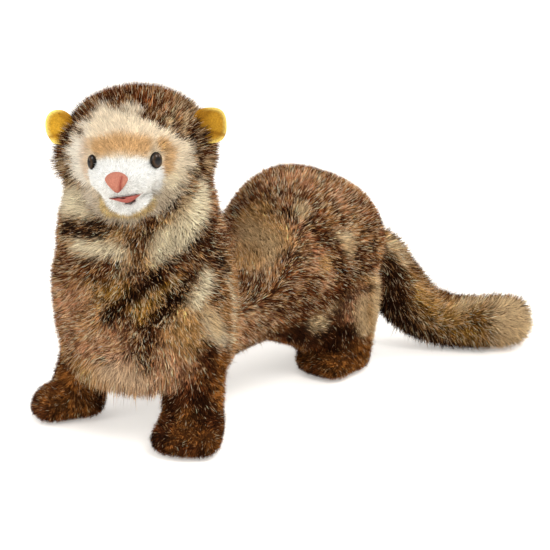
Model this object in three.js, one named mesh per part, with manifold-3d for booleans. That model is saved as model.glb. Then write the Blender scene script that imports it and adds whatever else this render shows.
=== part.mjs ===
// A plush ferret toy that stands on four stuffed legs.
// Its head is turned to its left and its tail is laid on the floor.
// Millimetres, +Z up. The chest faces -Y and the animal's left is +X.
// The hindquarters curve round to the animal's left.
// Every form reaches out to the tips of the plush.
// The legs, tail, ears and face pieces are sewn to what they grow from.

import * as THREE from "three";
import { mergeVertices } from "three/addons/utils/BufferGeometryUtils.js";
import Module from "manifold-3d";

const wasm = await Module();
wasm.setup();

// Driving dimensions
const SEAM_GAP = 0.35; // between two sewn pieces
const CHEST_HALF_WIDTH = 68;
const CHEST_HALF_DEPTH = 64;
const CHEST_LINE = -78; // the middle of the chest, front to back
const HEM_HEIGHT = 42; // the chest's lower edge above the floor
const HEM_TURN = 110; // degrees each way from the front that the fringe reaches round the chest
const HEM_LOCKS_PER_SIDE = 10;
const HEM_LOCK_LENGTH = 23;
const BELLY_HEIGHT = 35;
const HUMP_HEIGHT = 173; // the highest point of the back
const HEAD_CENTRE = [6, -90, 211];
const HEAD_HALF_WIDTH = 57;
const HEAD_HALF_HEIGHT = 48;
const HEAD_HALF_LENGTH = 49;
const HEAD_YAW = 29; // degrees that the head turns to the animal's left
const HEAD_ROLL = -2; // degrees
const EYE_DIAMETER = 9;
const EYE_TURN = 0.6; // radians outward from straight ahead that each eye faces
const EYE_SPACING = 44;
const EYE_LEVEL = { left: 4, right: 2 }; // above the middle of the head
const NOSE_WIDTH = 16;
const MUZZLE_WIDTH = 48;
const EAR_HEIGHT = 25;
const EAR_LEVEL = 19.5; // above the middle of the head
const EAR_REACH = 52.5; // out from the middle of the head
const MOUTH_LEVEL = -22; // below the middle of the head
const MOUTH_TILT = 0.1; // radians that the smile's left corner is raised
const MOUTH_SHIFT = 1.5; // to the left
const LEG_RADIUS = 24;
const PAW_LENGTH = 62;
const PAW_WIDTH = 46;
const TAIL_RADIUS = 23;
const NECK_LINE = 160; // height of the seam between chest and neck
const PAW_LINE = 27; // height of the seam between leg and paw

const UP = new THREE.Vector3(0, 0, 1);
const FORWARD = new THREE.Vector3(0, -1, 0);

function solidFrom(geometry) {
  const plain = geometry.index ? geometry.toNonIndexed() : geometry.clone();
  plain.deleteAttribute("normal");
  plain.deleteAttribute("uv");
  const merged = mergeVertices(plain, 1e-3);
  return new wasm.Manifold(
    new wasm.Mesh({
      numProp: 3,
      vertProperties: new Float32Array(merged.attributes.position.array),
      triVerts: new Uint32Array(merged.index.array),
    }),
  );
}

function geometryFrom(solid) {
  const mesh = solid.getMesh();
  const geometry = new THREE.BufferGeometry();
  const places = new Float32Array(mesh.numVert * 3);
  for (let i = 0; i < mesh.numVert; i++) {
    const from = i * mesh.numProp;
    places.set(mesh.vertProperties.subarray(from, from + 3), i * 3);
  }
  geometry.setAttribute("position", new THREE.BufferAttribute(places, 3));
  geometry.setIndex(new THREE.BufferAttribute(mesh.triVerts, 1));
  geometry.computeVertexNormals();
  return geometry;
}

function largestBody(solid) {
  const bodies = solid.decompose();
  return bodies.reduce((best, body) => (body.volume() > best.volume() ? body : best));
}

// A stuffed form along a curve. A unit sphere's rings are carried along the curve through the stations.
// Each ring takes its half width and its half heights above and below the curve from the stations.
function stuffed({
  stations,
  facing = UP,
  around = 24,
  along = 16,
  caps = [20, 20],
  grow = 0,
  square = 2,
  relief,
}) {
  const curve = new THREE.CatmullRomCurve3(stations.map(({ at }) => new THREE.Vector3(...at)));
  const sizes = new THREE.CatmullRomCurve3(
    stations.map(({ wide, high, low = high }) => new THREE.Vector3(wide, high, low)),
  );
  const length = curve.getLength();
  const sphere = new THREE.SphereGeometry(1, around, along);
  const places = sphere.attributes.position;
  const tilt = 2 / square;
  for (let i = 0; i < places.count; i++) {
    const polar = Math.acos(THREE.MathUtils.clamp(places.getY(i), -1, 1));
    const share = (polar / Math.PI + (1 - Math.cos(polar)) / 2) / 2;
    const raw = curve.getUtoTmapping(share);
    const tangent = curve.getTangent(raw);
    const side = new THREE.Vector3().crossVectors(tangent, facing).normalize();
    const rise = new THREE.Vector3().crossVectors(side, tangent).normalize();
    const size = sizes.getPoint(raw);
    const fromStart = Math.min(1, (share * length) / caps[0]);
    const fromEnd = Math.min(1, ((1 - share) * length) / caps[1]);
    const cap = Math.sqrt((1 - (1 - fromStart) ** 2) * (1 - (1 - fromEnd) ** 2));
    const angle = Math.atan2(places.getZ(i), places.getX(i));
    const across = Math.sign(Math.cos(angle)) * Math.abs(Math.cos(angle)) ** tilt;
    const upward = Math.sign(Math.sin(angle)) * Math.abs(Math.sin(angle)) ** tilt;
    const reach = upward > 0 ? size.y : size.z;
    const out = new THREE.Vector3()
      .addScaledVector(side, across * (size.x + grow) * cap)
      .addScaledVector(rise, upward * (reach + grow) * cap);
    const outward = share < 0.5 ? -1 : 1;
    const centre = curve.getPoint(raw).addScaledVector(tangent, grow * (1 - cap) * outward);
    const place = centre.clone().add(out);
    if (relief) place.addScaledVector(out.clone().normalize(), relief(place) * cap);
    places.setXYZ(i, place.x, place.y, place.z);
  }
  const solid = solidFrom(sphere);
  return solid.volume() < 0 ? solidFrom(turnedInsideOut(sphere)) : solid;
}

function turnedInsideOut(geometry) {
  const index = geometry.index.array;
  for (let i = 0; i < index.length; i += 3) [index[i + 1], index[i + 2]] = [index[i + 2], index[i + 1]];
  return geometry;
}

const FAR = 600;

// Everything on the far side of a plane, half a seam's gap beyond it
function beyond(point, direction) {
  const half = new THREE.BoxGeometry(2 * FAR, FAR, 2 * FAR);
  const turn = new THREE.Quaternion().setFromUnitVectors(new THREE.Vector3(0, 1, 0), direction);
  half.translate(0, (FAR + SEAM_GAP) / 2, 0);
  half.applyQuaternion(turn);
  half.translate(point.x, point.y, point.z);
  return solidFrom(half);
}

// The two sides of a seam that lies across a direction
function parted(solid, point, direction) {
  const near = solid.intersect(beyond(point, direction.clone().negate()));
  const far = solid.intersect(beyond(point, direction));
  return [largestBody(near), largestBody(far)];
}

const FLOOR = beyond(new THREE.Vector3(0, 0, SEAM_GAP / 2), new THREE.Vector3(0, 0, -1));

// A soft groove along a line between two points
function crease(from, to, width, depth) {
  const line = new THREE.Line3(new THREE.Vector3(...from), new THREE.Vector3(...to));
  const nearest = new THREE.Vector3();
  return (place) => {
    line.closestPointToPoint(place, true, nearest);
    return -depth * Math.exp(-((nearest.distanceTo(place) / width) ** 2));
  };
}

const sumOf = (reliefs) => (place) => reliefs.reduce((total, relief) => total + relief(place), 0);

// Repeatable small differences between one lock and the next
function dice(seed) {
  let state = seed;
  return () => {
    state = (state * 16807) % 2147483647;
    return state / 2147483647;
  };
}

// A flat lock of plush: a tapered cone bent along its lie.
// Its wide end is sunk below the surface that it grows from.
function lock({ root, normal, lie, length, width, thickness, lift, sink }) {
  const side = new THREE.Vector3().crossVectors(lie, normal).normalize();
  const flow = lie.clone().normalize();
  const at = (distance, height) =>
    root.clone().addScaledVector(flow, distance).addScaledVector(normal, height);
  const bend = new THREE.CubicBezierCurve3(
    at(0, -sink),
    at(length * 0.25, lift * 0.8),
    at(length * 0.65, lift * 1.1),
    at(length, lift * 0.8),
  );
  const cone = new THREE.ConeGeometry(1, 1, 5, 3);
  const places = cone.attributes.position;
  for (let i = 0; i < places.count; i++) {
    const share = places.getY(i) + 0.5;
    const swell = 1 + 1.6 * share * (1 - share);
    const place = bend.getPoint(share);
    place.addScaledVector(side, (places.getX(i) * width * swell) / 2);
    place.addScaledVector(normal, (places.getZ(i) * thickness * swell) / 2);
    places.setXYZ(i, place.x, place.y, place.z);
  }
  const solid = solidFrom(cone);
  return solid.volume() < 0 ? solidFrom(turnedInsideOut(cone)) : solid;
}

// The chest and neck stand up as one sleeve, with loose folds where nothing fills it
const chestFolds = sumOf([
  crease([58, -112, 156], [-30, -146, 98], 11, 7),
  crease([66, -102, 132], [14, -146, 84], 10, 6),
  crease([-62, -96, 134], [-34, -134, 140], 10, 4),
]);
function sleeve(grow, { around, along } = { around: 40, along: 28 }) {
  return stuffed({
    stations: [
      { at: [0, CHEST_LINE, HEM_HEIGHT], wide: CHEST_HALF_WIDTH - 6, high: CHEST_HALF_DEPTH - 8 },
      { at: [0, CHEST_LINE, HEM_HEIGHT + 40], wide: CHEST_HALF_WIDTH + 3, high: CHEST_HALF_DEPTH + 2 },
      { at: [0, -80, 120], wide: CHEST_HALF_WIDTH + 2, high: CHEST_HALF_DEPTH },
      { at: [2, -84, 155], wide: CHEST_HALF_WIDTH - 3, high: CHEST_HALF_DEPTH - 6 },
      { at: [5, -86, 186], wide: HEAD_HALF_WIDTH + 2, high: HEAD_HALF_LENGTH - 2 },
      { at: [6, -90, 218], wide: HEAD_HALF_WIDTH - 17, high: HEAD_HALF_LENGTH - 14 },
    ],
    facing: FORWARD,
    around,
    along,
    caps: [22, 20],
    grow,
    relief: chestFolds,
  });
}

// The long body behind the chest arches up to a hump over the hind legs and curves to the animal's left
function barrel(grow) {
  return stuffed({
    stations: [
      { at: [0, -92, 86], wide: 46, high: 32, low: 44 },
      { at: [-3, -50, 84], wide: 54, high: 26, low: 50 },
      { at: [-1, -16, 84], wide: 56, high: 22, low: 50 },
      { at: [5, 28, 94], wide: 55, high: 34, low: 57 },
      { at: [13, 72, 108], wide: 55, high: HUMP_HEIGHT - 108, low: 108 - BELLY_HEIGHT },
      { at: [21, 110, 108], wide: 58, high: 60, low: 68 },
      { at: [33, 142, 102], wide: 54, high: 46, low: 58 },
      { at: [45, 165, 96], wide: 42, high: 34, low: 44 },
    ],
    around: 26,
    along: 20,
    caps: [30, 34],
    grow,
  });
}

// A leg runs from inside the body down into its paw, and the paw points forward and out by the splay
function legAndPaw({ top, ankle, splay, radius, thigh = radius, pawWidth = PAW_WIDTH, grow = 0 }) {
  const turn = THREE.MathUtils.degToRad(splay);
  const toe = [Math.sin(turn), -Math.cos(turn)];
  const ahead = (distance, height) => [
    ankle[0] + toe[0] * distance,
    ankle[1] + toe[1] * distance,
    height,
  ];
  const middle = top.map((value, i) => (value + ankle[i]) / 2);
  const leg = stuffed({
    stations: [
      { at: top, wide: thigh, high: thigh },
      { at: middle, wide: (radius + thigh) / 2, high: (radius + thigh) / 2 },
      { at: ankle, wide: radius - 1, high: radius },
      { at: ahead(4, 2), wide: radius - 3, high: radius - 2 },
    ],
    facing: new THREE.Vector3(toe[0], toe[1], 0),
    around: 16,
    along: 8,
    caps: [12, 8],
    grow,
  });
  const heel = -PAW_LENGTH * 0.36;
  const reach = PAW_LENGTH + heel;
  const half = pawWidth / 2;
  const foot = stuffed({
    stations: [
      { at: ahead(heel, 13), wide: half - 6, high: 13, low: 15 },
      { at: ahead(heel + 18, 15), wide: half - 3, high: 16, low: 17 },
      { at: ahead(reach * 0.35, 14), wide: half - 1, high: 15, low: 16 },
      { at: ahead(reach * 0.7, 11), wide: half, high: 13, low: 13 },
      { at: ahead(reach, 9), wide: half - 3, high: 9, low: 10 },
    ],
    around: 14,
    along: 8,
    caps: [14, 14],
    square: 2.3,
    grow,
  });
  return leg.add(foot).subtract(FLOOR);
}

const LEGS = {
  foreleg_left: {
    top: [46, -80, 86],
    ankle: [49, -86, 24],
    splay: 26,
    radius: LEG_RADIUS,
    pawWidth: PAW_WIDTH + 6,
  },
  foreleg_right: {
    top: [-50, -80, 86],
    ankle: [-64, -88, 24],
    splay: -20,
    radius: LEG_RADIUS,
  },
  hindleg_left: {
    top: [42, 118, 84],
    ankle: [46, 119, 24],
    splay: -8,
    radius: LEG_RADIUS + 2,
    thigh: 38,
  },
  hindleg_right: {
    top: [4, 142, 84],
    ankle: [12, 150, 24],
    splay: -8,
    radius: LEG_RADIUS - 2,
    thigh: 30,
  },
};

// The tail drops from the rump and lies along the floor
const TAIL_FLOOR_STATION = 4; // the first station that lies on the floor
const TAIL_BARE_LENGTH = 46; // hidden in the rump
const TAIL_SEAM_SHARE = 0.6;
const TAIL_RING_SPACING = 18;
const TAIL_LOCKS_PER_RING = 7;
const TAIL_CLOSING_LENGTH = 30; // over which the last locks turn in towards the tip
const TAIL_LOCK_LENGTH = 29;
const TAIL_SHORTEST_LOCK = 9;
const TAIL_LYING_HEIGHT = 4; // locks below it would be pressed flat by the floor
const TAIL_PATH = [
  { at: [34, 140, 104], wide: 20, high: 20 },
  { at: [50, 163, 90], wide: 23, high: 23 },
  { at: [59, 180, 61], wide: 26, high: 26 },
  { at: [69, 199, 36], wide: TAIL_RADIUS + 2, high: TAIL_RADIUS + 2 },
  { at: [88, 220, TAIL_RADIUS], wide: TAIL_RADIUS, high: TAIL_RADIUS },
  { at: [110, 231, TAIL_RADIUS - 1], wide: TAIL_RADIUS, high: TAIL_RADIUS },
  { at: [130, 248, TAIL_RADIUS - 1], wide: TAIL_RADIUS, high: TAIL_RADIUS },
  { at: [147, 264, TAIL_RADIUS - 1], wide: TAIL_RADIUS - 3, high: TAIL_RADIUS - 3 },
];
const TAIL_PILE = 12; // depth of the tail's plush
const tailCore = stuffed({
  stations: TAIL_PATH.map(({ at, wide, high }, i) => ({
    at,
    wide: wide - TAIL_PILE / 2,
    high: high - TAIL_PILE / 2,
    low: i < TAIL_FLOOR_STATION ? high - TAIL_PILE / 2 : high,
  })),
  around: 18,
  along: 20,
  caps: [12, 16],
});

const tailCurve = new THREE.CatmullRomCurve3(TAIL_PATH.map(({ at }) => new THREE.Vector3(...at)));
const tailSeam = tailCurve.getPointAt(TAIL_SEAM_SHARE);
const tailSeamFlow = tailCurve.getTangentAt(TAIL_SEAM_SHARE);

// Locks lie along the tail towards its tip, in rings that overlap.
// They stop short of the seam between the tail's two lengths.
function tailLocks() {
  const radii = new THREE.CatmullRomCurve3(
    TAIL_PATH.map(({ wide, high }) => new THREE.Vector3(wide, high, 0)),
  );
  const random = dice(11);
  const whole = tailCurve.getLength();
  const locks = [];
  for (let along = TAIL_BARE_LENGTH; along < whole - 4; along += TAIL_RING_SPACING) {
    const raw = tailCurve.getUtoTmapping(along / whole);
    const centre = tailCurve.getPoint(raw);
    const flow = tailCurve.getTangent(raw);
    const radius = radii.getPoint(raw).x - TAIL_PILE / 2;
    const side = new THREE.Vector3().crossVectors(flow, UP).normalize();
    const rise = new THREE.Vector3().crossVectors(side, flow).normalize();
    const toSeam = TAIL_SEAM_SHARE * whole - along;
    const stagger = Math.round(along / TAIL_RING_SPACING) % 2 ? 0.5 : 0;
    for (let k = 0; k < TAIL_LOCKS_PER_RING; k++) {
      const turn = ((k + stagger + 0.3 * (random() - 0.5)) / TAIL_LOCKS_PER_RING) * 2 * Math.PI;
      const normal = side.clone().multiplyScalar(Math.cos(turn)).addScaledVector(rise, Math.sin(turn));
      const root = centre.clone().addScaledVector(normal, radius - 1);
      const closing = Math.max(0, 1 - (whole - along) / TAIL_CLOSING_LENGTH);
      const lie = flow.clone().addScaledVector(normal, -closing);
      const full = TAIL_LOCK_LENGTH * (0.85 + 0.3 * random());
      const length = Math.min(full, toSeam > 0 ? toSeam - 2 : (whole - along) / 2 + TAIL_PILE);
      const lift = (TAIL_PILE / 2) * (0.8 + 0.3 * random());
      const pressed = root.z + normal.z * lift < TAIL_LYING_HEIGHT;
      if (pressed || length < TAIL_SHORTEST_LOCK) continue;
      locks.push(lock({ root, normal, lie, length, width: 15, thickness: 5, lift, sink: 3 }));
    }
  }
  return locks;
}
const tail = wasm.Manifold.union([tailCore, ...tailLocks()]).subtract(FLOOR);

// The head is a wide ball in a frame of its own, facing -Y from its centre
function skull(grow) {
  return stuffed({
    stations: [
      { at: [0, HEAD_HALF_LENGTH, 2], wide: HEAD_HALF_WIDTH - 6, high: HEAD_HALF_HEIGHT - 4 },
      { at: [0, HEAD_HALF_LENGTH * 0.4, 1], wide: HEAD_HALF_WIDTH, high: HEAD_HALF_HEIGHT },
      { at: [0, 0, 0], wide: HEAD_HALF_WIDTH, high: HEAD_HALF_HEIGHT },
      { at: [0, -HEAD_HALF_LENGTH * 0.5, -3], wide: HEAD_HALF_WIDTH - 8, high: HEAD_HALF_HEIGHT - 6 },
      { at: [0, -HEAD_HALF_LENGTH, -7], wide: HEAD_HALF_WIDTH - 23, high: HEAD_HALF_HEIGHT - 20 },
    ],
    around: 28,
    along: 18,
    caps: [44, 40],
    grow,
  });
}

// The snout: a short upper muzzle with two soft cheeks, and a smaller jaw below the open smile
const MUZZLE_FRONT = -66;
function upperMuzzle(grow) {
  const half = MUZZLE_WIDTH / 2;
  return stuffed({
    stations: [
      { at: [0, -30, -8], wide: half, high: 18, low: 14 },
      { at: [0, -46, -9], wide: half, high: 13, low: 12 },
      { at: [0, -58, -11], wide: half - 5, high: 9, low: 11 },
      { at: [0, MUZZLE_FRONT, -12], wide: half - 12, high: 6, low: 9 },
    ],
    around: 18,
    along: 9,
    caps: [8, 11],
    grow,
    square: 2.2,
  });
}
function lowerJaw(grow) {
  return stuffed({
    stations: [
      { at: [0, -26, MOUTH_LEVEL - 6], wide: 20, high: 12, low: 10 },
      { at: [0, -44, MOUTH_LEVEL - 5], wide: 19, high: 10, low: 9 },
      { at: [0, -56, MOUTH_LEVEL - 4], wide: 15, high: 8, low: 7.5 },
      { at: [0, -61, MOUTH_LEVEL - 3], wide: 11, high: 6, low: 6 },
    ],
    around: 16,
    along: 8,
    caps: [8, 9],
    grow,
  });
}

// The smile is a thin curved lens, its corners higher than its middle
function smile({ thickness, width, front }) {
  const depth = 24;
  const lens = new THREE.SphereGeometry(1, 18, 8);
  const places = lens.attributes.position;
  for (let i = 0; i < places.count; i++) {
    const x = places.getX(i) * width;
    const lift = MOUTH_TILT * x + 0.011 * x * x + places.getY(i) * thickness;
    places.setXYZ(i, x + MOUTH_SHIFT, front + depth * (1 - places.getZ(i)), MOUTH_LEVEL + lift);
  }
  return solidFrom(lens);
}

const headBall = skull(0);
const headGrown = skull(SEAM_GAP);
const mouthGap = smile({ thickness: 2.6, width: 16, front: MUZZLE_FRONT - 2 });
const bridge = upperMuzzle(0).subtract(headGrown).subtract(mouthGap);
const jawFree = lowerJaw(0).subtract(headGrown).subtract(upperMuzzle(SEAM_GAP));
const jaw = largestBody(jawFree.subtract(mouthGap));
const lips = smile({ thickness: 2.2, width: 15, front: MUZZLE_FRONT + 3 });
const lining = largestBody(lips.subtract(headGrown));

const nosePad = stuffed({
  stations: [
    { at: [0, MUZZLE_FRONT + 7, -7], wide: NOSE_WIDTH / 2 - 1, high: 6, low: 7 },
    { at: [0, MUZZLE_FRONT + 1, -7], wide: NOSE_WIDTH / 2, high: 6, low: 7.5 },
    { at: [0, MUZZLE_FRONT - 5, -7], wide: NOSE_WIDTH / 2 - 2, high: 4.5, low: 5.5 },
  ],
  around: 12,
  along: 7,
  caps: [3, 6],
});
const nose = largestBody(nosePad.subtract(upperMuzzle(SEAM_GAP)));

// The point where a line from straight ahead first meets the head
const headMesh = new THREE.Mesh(geometryFrom(headBall));
function faceAt(x, z) {
  const ray = new THREE.Raycaster(new THREE.Vector3(x, -FAR, z), new THREE.Vector3(0, 1, 0));
  return ray.intersectObject(headMesh)[0].point;
}

const SIDES = { left: 1, right: -1 };

// Each eye is a domed oval button whose back sits against the head
function eyeAt(side, grow) {
  const sign = SIDES[side];
  const ball = new THREE.SphereGeometry(1, 14, 8);
  const half = EYE_DIAMETER / 2;
  ball.scale(half + grow, half * 0.8 + grow, half * 1.15 + grow);
  ball.rotateZ(sign * EYE_TURN);
  const seat = faceAt((sign * EYE_SPACING) / 2, EYE_LEVEL[side]);
  ball.translate(seat.x + sign * 0.4, seat.y - 0.8, seat.z);
  return solidFrom(ball);
}
const eyesGrown = eyeAt("left", SEAM_GAP).add(eyeAt("right", SEAM_GAP));
const muzzle = largestBody(bridge.subtract(eyesGrown));

// Each ear is a small round cup of suede cloth, half sunk into the side of the head
function earAt(sign) {
  const outer = new THREE.SphereGeometry(EAR_HEIGHT / 2, 16, 9);
  outer.scale(0.95, 0.5, 1);
  const inner = new THREE.SphereGeometry(EAR_HEIGHT / 2 - 2.4, 14, 7);
  inner.scale(0.95, 0.5, 1);
  inner.translate(0, -4.6, 0);
  const cup = geometryFrom(solidFrom(outer).subtract(solidFrom(inner)));
  cup.rotateZ(sign * 0.25);
  cup.translate(sign * EAR_REACH, -2, EAR_LEVEL);
  return largestBody(solidFrom(cup).subtract(headGrown));
}

// The head's own group, turned to the animal's left
const headGroup = new THREE.Group();
headGroup.position.set(...HEAD_CENTRE);
const headTurn = [0, THREE.MathUtils.degToRad(HEAD_ROLL), THREE.MathUtils.degToRad(HEAD_YAW)];
headGroup.rotation.set(...headTurn, "ZXY");
headGroup.updateMatrixWorld(true);
const snoutGrown = upperMuzzle(SEAM_GAP).add(lowerJaw(SEAM_GAP)).add(mouthGap);
const headInBody = solidFrom(geometryFrom(headGrown.add(snoutGrown)).applyMatrix4(headGroup.matrix));

// The sewn pieces of the body
const sleeveSolid = sleeve(0);
const sleeveGrown = sleeve(SEAM_GAP);
const neckSeam = new THREE.Vector3(0, 0, NECK_LINE);
const neck = parted(sleeve(0, { around: 28, along: 18 }), neckSeam, UP)[1].subtract(headInBody);
const bib = parted(sleeveSolid, neckSeam, UP)[0];
const barrelSolid = barrel(0).subtract(sleeveGrown).subtract(headInBody);
const barrelGrown = barrel(SEAM_GAP);
const RUMP_LINE = 72; // the seam across the back, at its highest point
const rumpSeam = new THREE.Vector3(0, RUMP_LINE, 0);
const [torso, rump] = parted(barrelSolid, rumpSeam, FORWARD.clone().negate());

const cloth = {
  brown: new THREE.MeshStandardMaterial({ color: 0x6b4a33, roughness: 0.95, metalness: 0 }),
  dark: new THREE.MeshStandardMaterial({ color: 0x3c2617, roughness: 0.95, metalness: 0 }),
  golden: new THREE.MeshStandardMaterial({ color: 0x8a6a42, roughness: 0.95, metalness: 0 }),
  cream: new THREE.MeshStandardMaterial({ color: 0xe2d2b4, roughness: 0.95, metalness: 0 }),
  white: new THREE.MeshStandardMaterial({ color: 0xf3f1ee, roughness: 0.95, metalness: 0 }),
  pink: new THREE.MeshStandardMaterial({ color: 0xd8796f, roughness: 0.85, metalness: 0 }),
  felt: new THREE.MeshStandardMaterial({ color: 0xb4483f, roughness: 0.95, metalness: 0 }),
  suede: new THREE.MeshStandardMaterial({ color: 0xc79a2e, roughness: 0.9, metalness: 0 }),
  button: new THREE.MeshStandardMaterial({ color: 0x1d1410, roughness: 0.12, metalness: 0 }),
};

const ferret = new THREE.Group();
function sew(name, solid, material, group = ferret) {
  const mesh = new THREE.Mesh(geometryFrom(solid), material);
  mesh.name = name;
  group.add(mesh);
}

sew("neck", neck, cloth.cream);
sew("torso", torso, cloth.brown);
sew("rump", rump, cloth.brown);
let taken = sleeveGrown.add(barrelGrown);
for (const [name, measures] of Object.entries(LEGS)) {
  const whole = legAndPaw(measures).subtract(taken);
  taken = taken.add(legAndPaw({ ...measures, grow: SEAM_GAP }));
  const [paw, leg] = parted(whole, new THREE.Vector3(0, 0, PAW_LINE), UP);
  sew(name, leg, cloth.dark);
  sew(name.replace("leg", "paw"), paw, cloth.dark);
}

// A fringe of locks hangs from the chest's hem, in front of the forelegs and between them
function hemLocks() {
  const surface = new THREE.Mesh(geometryFrom(sleeveSolid));
  const random = dice(5);
  const locks = [];
  for (let turn = -HEM_TURN; turn <= HEM_TURN; turn += HEM_TURN / HEM_LOCKS_PER_SIDE) {
    const angle = THREE.MathUtils.degToRad(turn + 4 * (random() - 0.5));
    const out = new THREE.Vector3(Math.sin(angle), -Math.cos(angle), 0);
    const axis = new THREE.Vector3(0, CHEST_LINE, HEM_HEIGHT + 14 + 6 * random());
    const ray = new THREE.Raycaster(axis.clone().addScaledVector(out, FAR), out.clone().negate());
    const root = ray.intersectObject(surface)[0].point;
    const lie = new THREE.Vector3(0, 0, -1).addScaledVector(out, -0.4);
    const length = HEM_LOCK_LENGTH * (0.85 + 0.3 * random());
    const shape = { width: 17, thickness: 6, lift: 1.5, sink: 5 };
    locks.push(lock({ root, normal: out, lie, length, ...shape }));
  }
  return wasm.Manifold.union(locks);
}
const fringe = hemLocks().subtract(taken.subtract(sleeveGrown));
sew("chest", largestBody(bib.add(fringe).subtract(headInBody)), cloth.brown);

const [tailBase, tailBrush] = parted(tail.subtract(taken), tailSeam, tailSeamFlow);
sew("tail_base", tailBase, cloth.golden);
sew("tail_brush", tailBrush, cloth.golden);

ferret.add(headGroup);
sew("head", headBall, cloth.cream, headGroup);
sew("muzzle", muzzle, cloth.white, headGroup);
sew("jaw", jaw, cloth.white, headGroup);
sew("mouth_lining", lining, cloth.felt, headGroup);
sew("nose", nose, cloth.pink, headGroup);
for (const [side, sign] of Object.entries(SIDES)) {
  sew("eye_" + side, largestBody(eyeAt(side, 0).subtract(headGrown)), cloth.button, headGroup);
  sew("ear_" + side, earAt(sign), cloth.suede, headGroup);
}

// The origin is on the floor, below the middle of the whole toy
const reach = new THREE.Box3().setFromObject(ferret, true);
const middle = reach.getCenter(new THREE.Vector3());
ferret.position.set(-middle.x, -middle.y, -reach.min.z);

export default ferret;
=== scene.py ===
"""A plush ferret toy on a pale floor: a sewn skin under a pile of tufts, with felt, suede and button trim."""
import math

import bmesh
import bpy
import numpy as np
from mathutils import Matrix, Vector
from mathutils.bvhtree import BVHTree
from mathutils.kdtree import KDTree


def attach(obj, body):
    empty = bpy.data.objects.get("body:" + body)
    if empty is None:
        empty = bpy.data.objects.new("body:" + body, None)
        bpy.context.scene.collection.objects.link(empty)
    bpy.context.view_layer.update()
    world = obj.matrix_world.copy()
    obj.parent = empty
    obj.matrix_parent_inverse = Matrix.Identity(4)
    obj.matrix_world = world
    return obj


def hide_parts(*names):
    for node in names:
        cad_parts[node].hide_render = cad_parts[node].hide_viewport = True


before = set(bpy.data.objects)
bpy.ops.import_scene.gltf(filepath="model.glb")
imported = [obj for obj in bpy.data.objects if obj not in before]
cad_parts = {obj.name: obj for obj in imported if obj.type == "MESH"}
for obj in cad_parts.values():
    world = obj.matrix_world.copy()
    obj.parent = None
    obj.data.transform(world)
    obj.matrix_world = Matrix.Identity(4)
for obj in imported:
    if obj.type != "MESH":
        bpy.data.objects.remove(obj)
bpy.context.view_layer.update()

# Units, and the toy's own axes: millimetres from the foot of the chest
MM = 0.001
PLAN_CENTRE = np.array([31.351, 60.333, 0.0])
HEAD_CENTRE = np.array([6.0, -90.0, 211.0])
HEAD_YAW = math.radians(29)
HEAD_ROLL = math.radians(-2)

# How much of a place's depth is left out when a mark's reach is measured, so that marks hold in creases
DEEP_SHARE = 0.7

# Draws are seeded, so every run grows the same pile
draw = np.random.default_rng(20)


def hex_colour(text):
    """A colour written as sRGB hex, as linear numbers."""
    parts = np.array([int(text[i : i + 2], 16) for i in (1, 3, 5)]) / 255
    return np.where(parts <= 0.04045, parts / 12.92, ((parts + 0.055) / 1.055) ** 2.4)


def unit(vectors):
    """Rows of vectors, each made one long."""
    return vectors / np.maximum(np.linalg.norm(vectors, axis=-1, keepdims=True), 1e-9)


def ramp(value, low, high):
    """Nought at low, one at high, and a smooth rise between."""
    share = np.clip((value - low) / (high - low), 0, 1)
    return share * share * (3 - 2 * share)


def toned(colours, towards, share):
    """Rows of colours moved towards another colour by a share each."""
    return colours + (towards - colours) * np.asarray(share)[:, None]


def hump(away, width):
    """One where away is nought, fading to nought within about twice the width."""
    return np.exp(-((away / width) ** 2))


# How many waves make up a drift, and what brings their sum to about -1 to 1
WAVES = 14
WAVE_SUM = 3.4


def drift(places, size, seed):
    """A smooth field of about -1 to 1 over places, whose patches are about this size."""
    waves = np.random.default_rng(seed)
    turns = unit(waves.normal(size=(WAVES, 3))) * waves.uniform(0.7, 1.5, (WAVES, 1)) * math.pi / size
    starts = waves.uniform(0, 2 * math.pi, WAVES)
    return np.sin(places @ turns.T + starts).sum(1) / WAVE_SUM


def head_axes():
    """The head's own axes as the columns of a turn: right, back and up."""
    c, s = math.cos(HEAD_YAW), math.sin(HEAD_YAW)
    yaw = np.array([[c, -s, 0], [s, c, 0], [0, 0, 1]])
    c, s = math.cos(HEAD_ROLL), math.sin(HEAD_ROLL)
    return yaw @ np.array([[c, 0, s], [0, 1, 0], [-s, 0, c]])


HEAD_AXES = head_axes()


def toy_places(places):
    """Frame places in metres as the toy's own millimetres."""
    return np.asarray(places, float) / MM + PLAN_CENTRE


def frame_places(places):
    """The toy's own millimetres as frame places in metres."""
    return (np.asarray(places, float) - PLAN_CENTRE) * MM


def head_places(places):
    """The toy's millimetres seen in the head's own axes."""
    return (places - HEAD_CENTRE) @ HEAD_AXES


def head_frame(local):
    """Places in the head's own millimetres as frame places in metres."""
    return frame_places(HEAD_CENTRE + np.asarray(local, float) @ HEAD_AXES.T)


def off_line(places, first, last, normals=0.0):
    """How far each place is from the line between two points, counting less along its normal."""
    first, last = np.array(first, float), np.array(last, float)
    line = last - first
    share = np.clip((places - first) @ line / max(line @ line, 1e-9), 0, 1)
    away = places - first - share[:, None] * line
    away = away - normals * (DEEP_SHARE * (away * normals).sum(1))[:, None]
    return np.linalg.norm(away, axis=1)


def off_path(places, points, normals=0.0):
    """How far each place is from the straight lines that join the points one after another."""
    return np.min([off_line(places, *line, normals) for line in zip(points, points[1:])], axis=0)


# Stuffed forms, whose stations are a place, half width, and reach above and below
SLEEVE = [
    (0, -78, 46, 64, 58, 58),
    (1, -78, 82, 70, 66, 66),
    (-0.5, -80, 122, 71, 64, 64),
    (2, -84, 155, 64, 58, 58),
    (5, -86, 186, 57.5, 47, 47),
    (6, -90, 218, 40, 35, 35),
]
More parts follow.
